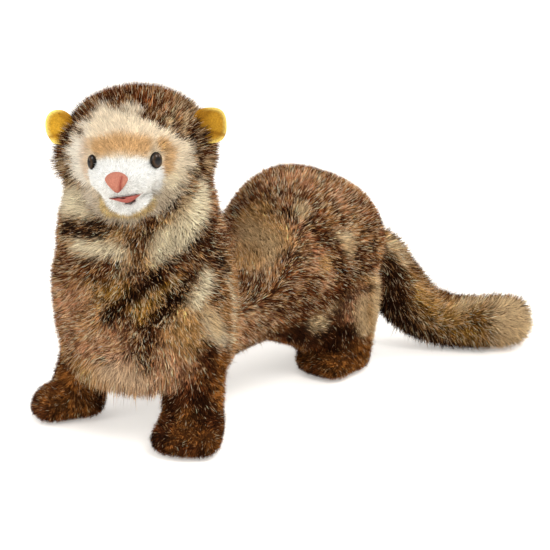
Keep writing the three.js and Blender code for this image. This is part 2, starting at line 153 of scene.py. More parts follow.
# Sewn creases of the chest: two ends, half width and depth
CREASES = [
    ((58, -112, 156), (-30, -146, 98), 11, 7),
    ((66, -102, 132), (14, -146, 84), 10, 6),
    ((-62, -96, 134), (-34, -134, 140), 10, 4),
]
# Trunk from inside the chest to the rump
BARREL = [
    (0, -92, 86, 46, 32, 44),
    (-3, -50, 84, 54, 26, 50),
    (-1, -16, 84, 56, 22, 50),
    (5, 28, 94, 55, 24, 57),
    (13, 73, 108, 55, 65, 73),
    (21, 110, 108, 58, 60, 68),
    (33, 142, 102, 54, 46, 58),
    (45, 165, 96, 42, 34, 44),
]
# Fold of skin from the belly to the thigh, and the tail: a place and a radius
BELLY_FOLD = [
    (28, 18, 67, 15),
    (30, 48, 54, 17),
    (35, 78, 47, 23),
    (40, 92, 38, 25),
]
TAIL = [
    (34, 140, 104, 20),
    (50, 163, 90, 23),
    (58, 179, 60, 27),
    (70, 197, 36, 26),
    (92, 213, 25, 25),
    (114, 224, 25, 25),
    (134, 242, 25.5, 24),
    (150, 257, 23.5, 20.5),
]
# Each leg's top and ankle, its outward turn in degrees, its radius at the ankle and the thigh, and the
# width and length of its paw
LEGS = [
    ((46, -80, 86), (48.5, -85.5, 24), 26, 24, 26, 53, 62),
    ((-42, -80, 86), (-56, -94, 24), -40, 22, 23, 44, 60),
    ((42, 117, 84), (47.5, 110.5, 24), -8, 28, 39, 54, 62),
    ((4, 142, 84), (12, 150, 24), -8, 22, 30, 46, 62),
]


# Steps at which a smooth line is read, and segments round a stuffed form
FINE = 400
ROUND = 44


def smooth_line(rows):
    """Stations on a smooth line through the given ones, evenly spaced, and the line's length."""
    rows = np.array(rows, float)
    ends = np.vstack([2 * rows[0] - rows[1], rows, 2 * rows[-1] - rows[-2]])
    along = np.linspace(0, len(rows) - 1, FINE)
    span = np.minimum(along.astype(int), len(rows) - 2)
    u = (along - span)[:, None]
    a, b, c, d = (ends[span + step] for step in range(4))
    line = (2 * b + (c - a) * u + (2 * a - 5 * b + 4 * c - d) * u**2 + (3 * b - 3 * c + d - a) * u**3) / 2
    run = np.concatenate([[0], np.cumsum(np.linalg.norm(np.diff(line[:, :3], axis=0), axis=1))])
    even = np.linspace(0, run[-1], FINE)
    return np.stack([np.interp(even, run, column) for column in line.T], 1), run[-1]


def stuffed(body, rows, facing, caps, square=2.0, along=40):
    """Adds a ball drawn out along a smooth line; gives its vertices, places, and ways along and outwards."""
    line, length = smooth_line(rows)
    tangents = unit(np.gradient(line[:, :3], axis=0))
    ball = bmesh.ops.create_uvsphere(body, u_segments=ROUND, v_segments=along, radius=1)["verts"]
    sphere = np.array([v.co for v in ball])
    polar = np.arccos(np.clip(sphere[:, 2], -1, 1))
    share = (polar / math.pi + (1 - np.cos(polar)) / 2) / 2
    at = (share * (FINE - 1)).round().astype(int).clip(0, FINE - 1)
    turn = np.arctan2(sphere[:, 1], sphere[:, 0])
    side = unit(np.cross(tangents[at], np.array(facing, float)))
    rise = np.cross(side, tangents[at])
    start = np.sqrt(1 - (1 - np.clip(share * length / caps[0], 0, 1)) ** 2)
    end = np.sqrt(1 - (1 - np.clip((1 - share) * length / caps[1], 0, 1)) ** 2)
    across = np.sign(np.cos(turn)) * np.abs(np.cos(turn)) ** (2 / square)
    up = np.sign(np.sin(turn)) * np.abs(np.sin(turn)) ** (2 / square)
    wide, high, low = line[at, 3], line[at, 4], line[at, 5]
    out = side * (across * wide)[:, None] + rise * (up * np.where(up > 0, high, low))[:, None]
    return ball, line[at, :3] + out * (start * end)[:, None], tangents[at], unit(out)


def leg_rows(top, ankle, radius, thigh, toes):
    """A leg's stations from the thigh down to the ankle."""
    top, ankle = np.array(top, float), np.array(ankle, float)
    mean = (radius + thigh) / 2
    sole = ankle + toes * 4 - [0, 0, 22]
    return [
        (*top, thigh, thigh, thigh),
        (*(top + ankle) / 2, mean, mean, mean),
        (*ankle, radius - 1, radius, radius),
        (*sole, radius - 3, radius - 2, radius - 2),
    ]


def paw_rows(ankle, width, length, toes):
    """A paw's stations from the heel to the toe."""
    heel, front, half = -0.36 * length, 0.64 * length, width / 2

    def station(reach, height, *sizes):
        return (ankle[0] + toes[0] * reach, ankle[1] + toes[1] * reach, height, *sizes)

    return [
        station(heel, 13, half - 6, 13, 13),
        station(heel + 18, 15, half - 3, 16, 15),
        station(front * 0.35, 14, half - 1, 15, 14),
        station(front * 0.7, 11, half, 13, 11),
        station(front, 9, half - 3, 9, 9),
    ]


REGIONS = ["chest", "back", "leg", "paw", "tail", "head", "muzzle", "jaw"]


def share_of(shares, name):
    """How much of each place belongs to a region."""
    return shares[:, REGIONS.index(name)]


def by_region(shares, table):
    """A value for each place, mixed from its regions' values."""
    return shares @ np.array([table[name] for name in REGIONS], float)


class Body:
    """The toy's forms in one bmesh, with the region and the pile's direction at each of their vertices."""

    def __init__(self):
        self.mesh = bmesh.new()
        self.places, self.lies, self.regions = [], [], []

    def note(self, region, places, lies):
        """Keeps the region and the pile's direction of some vertices."""
        self.places.append(places)
        self.lies.append(lies)
        self.regions.append(np.full(len(places), REGIONS.index(region)))

    def form(self, region, rows, facing, caps, square=2.0, sign=1, along=40, creases=()):
        """Adds a stuffed form, drawn in along its creases."""
        ball, places, tangents, out = stuffed(self.mesh, rows, facing, caps, square, along)
        for first, last, width, depth in creases:
            dent = depth * hump(off_line(places, first, last), width)
            places = places - out * dent[:, None]
        for vert, place in zip(ball, frame_places(places)):
            vert.co = place
        self.note(region, places, tangents * sign)

    def node(self, name):
        """Adds a CAD node of the head, whose pile runs away from the snout."""
        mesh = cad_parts[name].data
        self.mesh.from_mesh(mesh)
        places = toy_places([v.co for v in mesh.vertices])
        snout = HEAD_CENTRE + HEAD_AXES @ np.array([0, -70, -6])
        self.note(name, places, unit(places - snout))


def build_body():
    """Lays out every form of the toy."""
    body = Body()
    body.form("chest", SLEEVE, (0, -1, 0), (12, 20), sign=-1, creases=CREASES)
    body.form("back", BARREL, (0, 0, 1), (30, 34), along=50)
    for top, ankle, splay, radius, thigh, width, length in LEGS:
        turn = math.radians(splay)
        toes = np.array([math.sin(turn), -math.cos(turn), 0])
        body.form("leg", leg_rows(top, ankle, radius, thigh, toes), toes, (12, 8))
        body.form("paw", paw_rows(ankle, width, length, toes), (0, 0, 1), (10, 13), 3.2)
    fold = [(x, y, z, r, r, r) for x, y, z, r in BELLY_FOLD]
    body.form("leg", fold, (0, 0, 1), (10, 10))
    tail = [(x, y, z, r, r, r) for x, y, z, r in TAIL]
    body.form("tail", tail, (0, 0, 1), (12, 13), along=60)
    for name in ("head", "muzzle", "jaw"):
        body.node(name)
    bmesh.ops.remove_doubles(body.mesh, verts=body.mesh.verts, dist=1e-6)
    return body


def placed(name, mesh):
    """A new object at the origin, in the scene."""
    piece = bpy.data.objects.new(name, mesh)
    bpy.context.scene.collection.objects.link(piece)
    return piece


def relaxed(values, edges, times):
    """Values at vertices, each put to the mean of its neighbours' again and again."""
    counts = np.bincount(edges.ravel(), minlength=len(values)).astype(float)
    for _ in range(times):
        total = np.zeros_like(values)
        for column in range(values.shape[1]):
            total[:, column] += np.bincount(edges[:, 0], values[edges[:, 1], column], len(values))
            total[:, column] += np.bincount(edges[:, 1], values[edges[:, 0], column], len(values))
        values = total / np.maximum(counts, 1)[:, None]
    return values


def read(items, key, width, kind=float):
    """A property of many mesh items as one array."""
    found = np.empty(len(items) * width, np.float32 if kind is float else np.int32)
    items.foreach_get(key, found)
    return found.reshape(-1, width).astype(kind) if width > 1 else found.astype(kind)


# How deep the pile is, in millimetres, and how it stands in degrees from the skin
PILE = {"chest": 8.5, "back": 8, "leg": 5, "paw": 4.2, "tail": 10, "head": 8.5, "muzzle": 1.7, "jaw": 1.7}
STAND = {"chest": 63, "back": 70, "leg": 55, "paw": 55, "tail": 50, "head": 70, "muzzle": 34, "jaw": 34}
# Side of the cubes that the forms are joined by
VOXEL = 2.0 * MM
# Rounds of smoothing: the cloth before and after it is drawn in, the regions' edges, and the lie
CLOTH_ROUNDS, DRAWN_ROUNDS, EDGE_ROUNDS, LIE_ROUNDS = 3, 2, 10, 6


def face_pile(local):
    """How much less deep the pile is on the face than on the cap: less over the cheeks, least at the snout."""
    front = -local[:, 1]
    return -2.5 * ramp(front, 14, 28) - 2.8 * ramp(front, 27, 40) - 1.2 * ramp(front, 41, 48)


def face_stand(local):
    """How much flatter the pile lies on the face than on the cap."""
    front = -local[:, 1]
    return -22 * ramp(front, 18, 32) - 12 * ramp(front, 34, 46)


class Skin:
    """The sewn cloth under the pile, and at each vertex what grows there."""

    def __init__(self, body):
        rough = bpy.data.meshes.new("rough_skin")
        body.mesh.to_mesh(rough)
        carrier = placed("rough_skin", rough)
        remesh = carrier.modifiers.new("cloth", "REMESH")
        remesh.mode = "VOXEL"
        remesh.voxel_size = VOXEL
        remesh.use_smooth_shade = True
        graph = bpy.context.evaluated_depsgraph_get()
        self.mesh = bpy.data.meshes.new_from_object(carrier.evaluated_get(graph))
        bpy.data.objects.remove(carrier)
        edges = read(self.mesh.edges, "vertices", 2, int)
        places = relaxed(read(self.mesh.vertices, "co", 3), edges, CLOTH_ROUNDS)
        tree = KDTree(sum(len(p) for p in body.places))
        known = np.vstack(body.places)
        for number, place in enumerate(known):
            tree.insert(place, number)
        tree.balance()
        toy = toy_places(places)
        nearest = np.array([tree.find(place)[1] for place in toy])
        region = np.concatenate(body.regions)[nearest]
        shares = relaxed(np.eye(len(REGIONS))[region], edges, EDGE_ROUNDS)
        lies = np.vstack(body.lies)[nearest]
        local = head_places(toy)
        head = share_of(shares, "head")
        depth = by_region(shares, PILE) + face_pile(local) * head
        stand = by_region(shares, STAND) + face_stand(local) * head
        self.set_places(places)
        inward = read(self.mesh.vertex_normals, "vector", 3)
        places = relaxed(places - inward * (depth * MM)[:, None], edges, DRAWN_ROUNDS)
        self.set_places(places)
        self.places = places
        self.normals = read(self.mesh.vertex_normals, "vector", 3)
        for _ in range(LIE_ROUNDS):
            lies = relaxed(lies, edges, 2)
            lies = unit(lies - self.normals * (lies * self.normals).sum(1)[:, None])
        self.shares, self.lies, self.depth, self.stand = shares, lies, depth, stand

    def set_places(self, places):
        """Moves the cloth's vertices."""
        self.mesh.vertices.foreach_set("co", places.astype(np.float32).ravel())
        self.mesh.update()


# Colours of the pile, from the photographed toy's cloths; CHIN_SHADE is a painted shade, and marks below use
# some of these colours as painted light and shade
DARK = hex_colour("#1E0C03")
ROAST = hex_colour("#3A1D0B")
BROWN = hex_colour("#42200D")
RUSSET = hex_colour("#48230E")
ROSE = hex_colour("#8A6045")
OLIVE = hex_colour("#7A5821")
UMBER = hex_colour("#3E2810")
TAN = hex_colour("#A67E4C")
STRAW = hex_colour("#DDBE90")
FROST = hex_colour("#E0C19C")
CREAM = hex_colour("#EDDDBA")
WHITE = hex_colour("#EDEBE4")
PALE_FACE = hex_colour("#E1CFB3")
MASK = hex_colour("#BE8E50")
CHIN_SHADE = hex_colour("#A88F62")
AMBER = hex_colour("#6E431C")
BUFF = hex_colour("#B98A58")

# Soft marks of the chest, back and tail, each over those before it: colour, strength, reach in
# millimetres, and the places that it runs through
# The marks are partly the coat's own patches and partly painted light and shade of its folds and pile
COAT_MARKS = [
    (CREAM, 0.9, 7.5, (-19, -131, 177), (0, -134, 178)),
    (TAN, 0.7, 4.5, (-27, -131, 169), (-8, -136, 171)),
    (CREAM, 0.8, 7, (-24, -128, 186), (4, -131, 190)),
    (OLIVE, 0.8, 6, (-3, -137, 170), (14, -135, 170), (30, -131, 170), (43, -123, 174)),
    (OLIVE, 0.7, 6.8, (45, -120, 178), (51, -114, 182), (56, -106, 187)),
    (STRAW, 0.7, 6, (50, -118, 188), (57, -104, 194)),
    (STRAW, 0.85, 8.2, (-13, -139, 155), (4, -141, 154), (17, -139, 151), (27, -136, 149)),
    (CREAM, 0.6, 3.8, (14, -141, 148), (14, -141, 146)),
    (TAN, 0.6, 6.8, (25, -135, 162), (32, -134, 153)),
    (CREAM, 1.0, 6.5, (46, -118, 160), (53, -109, 160), (59, -102, 165), (64, -93, 173), (64, -85, 178)),
    (TAN, 0.7, 6, (48, -116, 154), (44, -123, 145)),
    (STRAW, 0.8, 6.8, (61, -93, 186), (64, -87, 181)),
    (STRAW, 0.6, 6, (57, -108, 169), (61, -100, 177)),
    (OLIVE, 0.75, 8.2, (7, -140, 126), (19, -139, 125), (28, -137, 121)),
    (ROSE, 0.5, 9, (-17, -139, 118), (-7, -138, 113)),
    (OLIVE, 0.85, 6, (50, -120, 123), (45, -125, 116), (40, -128, 107)),
    (STRAW, 0.8, 5.2, (66, -99, 116), (64, -105, 110)),
    (TAN, 0.75, 9.8, (65, -104, 104), (64, -107, 89)),
    # Painted highlight on the chest's right-facing edge
    (CREAM, 0.8, 5.2, (70, -88, 98), (71, -81, 87), (70, -74, 78)),
    (ROSE, 0.45, 9.8, (-17, -141, 89), (-1, -143, 82)),
    (ROSE, 0.6, 13.5, (14, -139, 80), (32, -134, 66), (48, -120, 63)),
    (TAN, 0.4, 7.5, (-13, -131, 56), (6, -137, 55)),
    (ROSE, 0.6, 10.5, (54, -121, 83), (60, -107, 64)),
    # Painted highlight: a thin bright rim down the edge between the chest and the barrel
    (CREAM, 1.0, 1.5, (66, -77, 153), (66, -70, 140), (66, -65, 126), (67, -59, 113),
     (67, -56, 102), (67, -55, 90), (66, -57, 78), (66, -62, 69)),
    (OLIVE, 0.7, 3.5, (57, -107, 129), (53, -115, 121), (46, -124, 112), (40, -129, 104)),
    # Painted highlight on the neck's right-facing edge
    (CREAM, 0.9, 5, (62, -80, 188), (64, -86, 181), (64, -90, 175)),
    (TAN, 0.9, 9, (4, 26, 138), (10, 29, 144), (18, 32, 150)),
    (TAN, 0.7, 8, (7, 16, 126), (13, 18, 129), (22, 22, 133)),
    (ROSE, 0.9, 8, (27, 28, 141), (40, 32, 140), (49, 35, 134)),
    (ROSE, 0.8, 5, (69, 69, 114), (69, 73, 103), (68, 73, 90)),
    (OLIVE, 0.7, 8, (36, -128, 170), (44, -124, 168), (49, -118, 169)),
    (TAN, 0.7, 5, (35, 18, 125), (43, 23, 126), (52, 31, 125), (58, 38, 121)),
    (STRAW, 0.7, 6, (10, 20, 132), (24, 19, 129), (34, 21, 129)),
    (TAN, 0.7, 5.2, (14, 13, 123), (27, 13, 121)),
    (TAN, 0.5, 7.5, (18, 27, 141), (32, 29, 141)),
    (STRAW, 0.7, 5.2, (48, 52, 151), (49, 53, 150)),
    (CREAM, 0.9, 4, (72, 84, 124), (72, 85, 123)),
    (STRAW, 0.5, 5.2, (73, 85, 115), (78, 99, 106)),
    (ROSE, 0.5, 6.8, (53, 29, 122), (62, 46, 113), (66, 58, 108)),
    (TAN, 0.5, 4.5, (45, -12, 99), (46, -11, 98)),
    (ROSE, 0.8, 9.8, (55, -15, 79), (52, 10, 66)),
    (ROSE, 0.8, 6.8, (52, -30, 73), (47, -17, 58)),
    (ROSE, 0.5, 10.5, (18, 57, 169), (31, 74, 169)),
    (ROSE, 0.5, 9, (52, 85, 157), (63, 91, 146)),
    (STRAW, 0.75, 8, (78, 119, 76), (76, 118, 62), (74, 122, 41)),
    (TAN, 0.7, 5.2, (73, 102, 68), (69, 100, 52)),
    # Painted highlight on the neck's right-facing edge
    (CREAM, 0.9, 5, (60, -79, 190), (63, -85, 181)),
    (CREAM, 0.6, 6, (64, -92, 176), (57, -104, 165), (50, -113, 157)),
    (CREAM, 0.7, 7, (-42, -120, 175), (-14, -134, 176), (0, -135, 177)),
    (CREAM, 0.85, 5, (-10, -139, 151), (7, -140, 151), (27, -136, 150)),
    (CREAM, 0.7, 6, (63, -94, 171), (57, -106, 157), (48, -117, 147)),
    (STRAW, 0.6, 7, (12, 0, 134), (26, 4, 130), (38, 10, 126)),
    (STRAW, 0.6, 5, (64, 74, 122), (65, 78, 114)),
    (STRAW, 0.7, 5, (56, 86, 62), (60, 90, 58)),
    (STRAW, 0.7, 5, (77, 124, 66), (76, 118, 52)),
    (STRAW, 0.6, 5, (68, 84, 121), (72, 92, 112)),
    (STRAW, 0.95, 6, (66, 162, 96), (69, 167, 90), (72, 169, 84)),
    (OLIVE, 0.85, 6.5, (76, 170, 66), (85, 191, 44), (98, 207, 33)),
    (OLIVE, 0.6, 7, (98, 207, 33), (118, 222, 26)),
    (STRAW, 0.75, 5.5, (107, 214, 38), (128, 236, 36), (143, 240, 34)),
    (STRAW, 0.8, 8, (134, 232, 26), (153, 244, 21)),
    (CREAM, 0.8, 8, (150, 262, 26), (156, 258, 18)),
    (FROST, 0.5, 10, (14, -139, 60), (36, -133, 56)),
    (TAN, 0.6, 5, (66, 62, 106), (68, 64, 104)),
    (TAN, 0.6, 6, (0, 29, 142), (22, 26, 140), (40, 28, 135)),
    (ROSE, 0.6, 12, (0, 10, 128), (20, 5, 120), (40, 0, 108)),
    (STRAW, 0.8, 5, (75, 126, 77), (76, 120, 64)),
    (TAN, 0.6, 9, (12, 8, 130), (28, 8, 126)),
    (TAN, 0.5, 7, (30, 28, 137), (44, 32, 133)),
    (DARK, 0.9, 4.5, (-29, -132, 162), (-6, -138, 166), (8, -136, 170)),
    (DARK, 0.85, 5, (-27, -135, 132), (-3, -142, 136), (12, -141, 137), (18, -139, 139)),
    (ROAST, 0.7, 4.5, (35, -130, 166), (40, -128, 154)),
    (ROAST, 0.6, 3.8, (43, -123, 170), (47, -120, 169)),
    # Painted shade along the chest's two sewn creases
    (DARK, 1.0, 6, (65, -79, 160), (65, -92, 155), (62, -101, 148), (57, -111, 140), (50, -120, 132)),
    (DARK, 1.0, 5.2, (50, -120, 132), (43, -128, 125), (33, -135, 118), (23, -139, 110), (17, -140, 101)),
    (DARK, 1.0, 4.4, (66, -90, 141), (63, -94, 135), (60, -100, 128), (57, -110, 119)),
    (DARK, 1.0, 5.4, (57, -110, 119), (53, -118, 110), (48, -124, 102), (45, -128, 94)),
    (ROAST, 0.8, 6.5, (45, -128, 94), (44, -129, 84), (44, -128, 66)),
    (ROSE, 0.5, 9, (-32, -128, 106), (-23, -135, 94)),
    (TAN, 0.5, 8, (58, -113, 90), (64, -104, 82)),
    # Painted highlights on the chest's right-facing edge
    (CREAM, 1.0, 4.6, (68, -84, 129), (68, -89, 123), (67, -95, 117), (66, -98, 112)),
    (STRAW, 0.85, 4.2, (70, -89, 103), (70, -84, 95), (71, -79, 87)),
    # Painted shade along the edge between the chest and the barrel, beside the bright rim
    (ROAST, 0.9, 4.5, (67, -84, 147), (68, -77, 136), (69, -73, 123), (70, -72, 111)),
    (ROAST, 0.6, 6, (46, -127, 94), (37, -133, 87)),
    (ROAST, 0.8, 6.8, (66, -82, 155), (67, -80, 143)),
    (ROAST, 0.9, 4.5, (57, -87, 203), (58, -87, 196), (59, -92, 192)),
    (ROAST, 0.8, 5.2, (70, -77, 118), (70, -82, 110)),
    (ROAST, 0.7, 5.2, (8, -141, 72), (9, -141, 71)),
    (ROAST, 0.4, 6, (-13, -139, 98), (-19, -141, 82)),
    (DARK, 0.9, 5.2, (68, -95, 77), (70, -89, 68)),
    (DARK, 0.6, 6.8, (43, 44, 149), (44, 45, 148)),
    (DARK, 0.75, 6.8, (58, 57, 139), (63, 63, 132)),
    (ROAST, 0.85, 5.2, (65, 66, 129), (70, 76, 116), (71, 79, 103), (68, 80, 84)),
    (ROAST, 0.8, 6, (77, 95, 107), (75, 94, 97)),
    (DARK, 0.6, 4.5, (62, 102, 149), (63, 103, 148)),
    (ROAST, 0.7, 6.8, (71, 105, 136), (77, 115, 126)),
    (ROAST, 0.4, 6.8, (-5, 38, 152), (4, 43, 160)),
    (DARK, 0.75, 5.2, (30, -4, 110), (44, 5, 109), (53, -2, 97)),
    (ROAST, 0.7, 5.2, (59, 24, 84), (60, 25, 83)),
    (ROAST, 0.5, 6, (60, 47, 79), (60, 75, 67)),
    # Under the belly and down the front of the hind leg: painted shade beneath the body, over a darker dye
    (DARK, 0.95, 10, (45, 33, 52), (44, 55, 42), (48, 80, 38)),
    (ROAST, 0.8, 6, (64, 91, 69), (59, 91, 52)),
    (DARK, 0.9, 6.8, (64, 98, 41), (60, 97, 28)),
    (DARK, 1.0, 13, (61, 150, 86), (60, 157, 66), (62, 168, 40)),
    # Darker along the tail's underside near the floor: painted shade, over a darker dye
    (DARK, 1.0, 11, (62, 168, 40), (75, 186, 18), (95, 209, 6), (118, 224, 3)),
    (DARK, 0.8, 6, (118, 224, 3), (139, 250, 1)),
    (ROAST, 0.8, 5, (70, 165, 76), (80, 170, 58)),
    (ROAST, 0.9, 6, (88, 206, 50), (104, 226, 45), (120, 238, 45), (138, 250, 45)),
    (DARK, 0.9, 5.5, (-31, -132, 156), (-8, -138, 160), (8, -138, 162), (18, -135, 168)),
    (ROAST, 1.0, 9, (-44, -125, 128), (-14, -140, 133), (1, -142, 133), (18, -140, 137)),
    (DARK, 0.8, 4.5, (44, -123, 161), (46, -121, 168)),
    (DARK, 0.7, 6, (69, 140, 96), (72, 138, 84)),
    (ROAST, 0.8, 8, (42, 5, 88), (54, 25, 76), (58, 45, 70)),
    (ROAST, 0.5, 6, (56, 12, 106), (62, 40, 96)),
    # Painted shade behind the chest's sleeve
    (DARK, 0.9, 6, (67, -73, 145), (66, -62, 128)),
    (ROAST, 0.8, 5, (35, -11, 104), (49, -22, 94)),
    (ROAST, 0.95, 8, (77, 98, 114), (79, 104, 100), (76, 104, 88)),
    (ROAST, 0.9, 4.5, (80, 112, 113), (80, 111, 98)),
    (STRAW, 0.8, 5, (79, 121, 76), (76, 123, 64), (73, 127, 48)),
    (TAN, 0.7, 7, (75, 108, 76), (71, 99, 68)),
    (DARK, 0.8, 5, (66, 88, 73), (59, 88, 62)),
    (DARK, 0.95, 8, (66, 156, 81), (70, 160, 66), (71, 167, 50), (74, 178, 34)),
    (ROAST, 0.9, 5, (59, 58, 139), (66, 65, 126), (70, 73, 111), (71, 80, 93)),
    (ROAST, 0.6, 7, (15, 44, 161), (22, 52, 165), (30, 61, 168)),
    (ROAST, 0.7, 8, (50, 81, 159), (60, 81, 148), (67, 84, 137)),
    (ROAST, 0.8, 6, (25, 2, 114), (38, -6, 105), (47, -20, 96)),
    (ROAST, 0.75, 5, (54, 5, 100), (58, 10, 88), (55, 27, 71), (45, 55, 53)),
    (DARK, 0.8, 7, (46, 13, 58), (40, 50, 48), (31, 75, 41)),
    # Painted shade along the tail's underside, over a darker dye
    (DARK, 0.9, 7, (74, 187, 19), (88, 206, 8), (113, 216, 5)),
    (TAN, 0.8, 5, (83, 180, 64), (88, 193, 49), (98, 207, 37)),
    (ROAST, 0.6, 6, (33, -132, 159), (39, -129, 151), (36, -131, 143)),
    (ROAST, 0.6, 4, (54, -109, 150), (60, -104, 142)),
    (ROAST, 0.7, 5, (51, 25, 119), (57, 34, 117), (62, 44, 114)),
    (ROAST, 0.5, 9, (49, -23, 94), (55, -15, 84), (54, 5, 71)),
    (ROAST, 0.7, 3, (66, 172, 92), (82, 182, 68), (88, 196, 52), (96, 212, 41)),
    (ROAST, 0.6, 5, (51, -19, 66), (52, -6, 67), (49, 16, 60), (46, 37, 56)),
    (STRAW, 0.35, 8, (8, 24, 136), (24, 21, 134), (38, 22, 130)),
    (ROAST, 0.7, 4, (55, -113, 135), (59, -105, 138), (62, -96, 138)),
    (CREAM, 0.6, 4.5, (52, -109, 153), (59, -102, 159), (64, -92, 167)),
    (ROAST, 0.7, 4.5, (36, 6, 113), (44, 5, 109), (51, 1, 101)),
    (DARK, 0.8, 4, (95, 222, 41), (104, 229, 44), (112, 236, 45)),
]
# The same for the legs and paws
FOOT_MARKS = [
    (AMBER, 0.8, 6.8, (71, -79, 49), (70, -76, 36)),
    (AMBER, 0.7, 5.2, (70, -78, 67), (60, -60, 50)),
    (AMBER, 0.4, 6.8, (67, -112, 22), (80, -105, 19)),
    (AMBER, 0.5, 7.5, (-53, -118, 18), (-48, -105, 12)),
    (AMBER, 0.6, 6, (-55, -109, 35), (-48, -105, 31)),
    (STRAW, 0.9, 5, (53, 66, 50), (56, 72, 52)),
    (TAN, 0.6, 6, (76, 112, 66), (73, 106, 60), (73, 112, 46)),
    (STRAW, 0.7, 6, (78, 118, 66), (76, 123, 50), (72, 128, 38), (70, 130, 28)),
    (AMBER, 0.9, 5, (65, 103, 25), (68, 111, 16)),
    (AMBER, 0.9, 6, (57, 83, 13), (65, 98, 10), (68, 109, 11)),
    # The front of the hind leg and the thigh under the belly: painted shade beneath the body, over a darker
    # dye
    (DARK, 0.6, 6, (58, 90, 58), (60, 94, 41), (57, 92, 28)),
    (ROSE, 0.7, 7, (72, 100, 70), (68, 96, 58)),
    (DARK, 0.9, 8, (44, 55, 46), (45, 78, 42)),
    (STRAW, 0.6, 4.5, (73, 103, 66), (72, 101, 56), (70, 108, 40)),
]


# How far past its reach a mark fades, and how much firmer than its strength it is at its middle
MARK_FADE = 1.35
MARK_HOLD = 1.7


def marked(colours, places, normals, marks, share):
    """Colours with soft marks laid over them, one after another."""
    for colour, strength, reach, *points in marks:
        distance = off_path(places, points, normals)
        held = 1 - (1 - strength) ** MARK_HOLD
        colours = toned(colours, colour, held * np.exp(-((distance / reach / MARK_FADE) ** 3)) * share)
    return colours


def body_colours(places, normals, shares):
    """The coat's colour away from the head, with the marks that show in the photograph, painted light and
    shade among them, and darker underneath.
    """
    base = {
        "chest": BROWN, "back": RUSSET, "leg": ROAST, "paw": ROAST, "tail": UMBER,
        "head": BROWN, "muzzle": WHITE, "jaw": WHITE,
    }
    colours = by_region(shares, base)
    feet = share_of(shares, "leg") + share_of(shares, "paw")
    wide, small = drift(places, 30, 1), drift(places, 13, 2)
    colours = toned(colours, ROAST, 0.8 * ramp(wide, 0.2, 1.0) * (1 - feet))
    colours = toned(colours, TAN, 0.25 * ramp(-wide, 0.3, 1.1) * (1 - feet))
    colours = toned(colours, ROSE, 0.35 * ramp(small, 0.3, 1.1) * (1 - feet))
    colours = toned(colours, DARK, 0.6 * ramp(small, -0.2, -1.0) * feet)
    colours = toned(colours, AMBER, 0.45 * ramp(drift(places, 16, 3), 0.1, 1.0) * feet)
    colours = marked(colours, places, normals, COAT_MARKS, 1 - feet)
    colours = marked(colours, places, normals, FOOT_MARKS, feet)
    # Darker towards the bottom of the back: painted shade under the body, over a darker dye
    below = share_of(shares, "back") * ramp(-places[:, 2], -62, -44)
    return toned(colours, DARK, 0.8 * below)


# Outlines on the head, seen from straight ahead in its own millimetres
FACE_EDGE = [
    (-20, 40), (-8, 40), (3, 37), (12, 35), (18, 29.5), (24, 25), (31, 23), (39.5, 16.5),
    (44.5, 9), (46, -0.3), (43.5, -9), (40.5, -16.5), (38, -24), (32, -31), (18, -38), (0, -42),
    (-20, -37), (-30, -31), (-37, -23), (-42.5, -14), (-46.5, -3.4), (-46.5, 6.4), (-42.5, 15),
    (-36, 22), (-31, 28), (-26, 34),
]
SNOUT_EDGE = [
    (-24, -14), (-23, -9.4), (-22, -4), (-17, -0.5), (-10, 4), (0, 7), (9, 3.5), (19.3, -3),
    (24, -9.5), (24.5, -15.7), (21, -23), (16, -28.5), (9, -32), (3, -34), (-4, -31.5),
    (-10, -27.5), (-14.5, -22), (-20, -18.5),
]
FACE_MIDDLE = (0, 2)
SNOUT_MIDDLE = (0, -14)
# The tan mask: a bar across the brow, and a bow round each eye
BROW = [(-19, 13), (-3, 17), (15, 14)]
EYE_BOWS = [[(27, 15), (33, 8), (30, -6)], [(-29, 15), (-32, 7), (-29, -8)]]


def within(x, z, outline, middle):
    """How far out places are from the outline's middle, as a share of the outline's reach that way."""
    rows = np.array(outline, float) - middle
    angles = np.arctan2(rows[:, 1], rows[:, 0])
    order = np.argsort(angles)
    angle = np.arctan2(z - middle[1], x - middle[0])
    reach = np.interp(angle, angles[order], np.hypot(*rows.T)[order], period=2 * math.pi)
    return np.hypot(x - middle[0], z - middle[1]) / reach


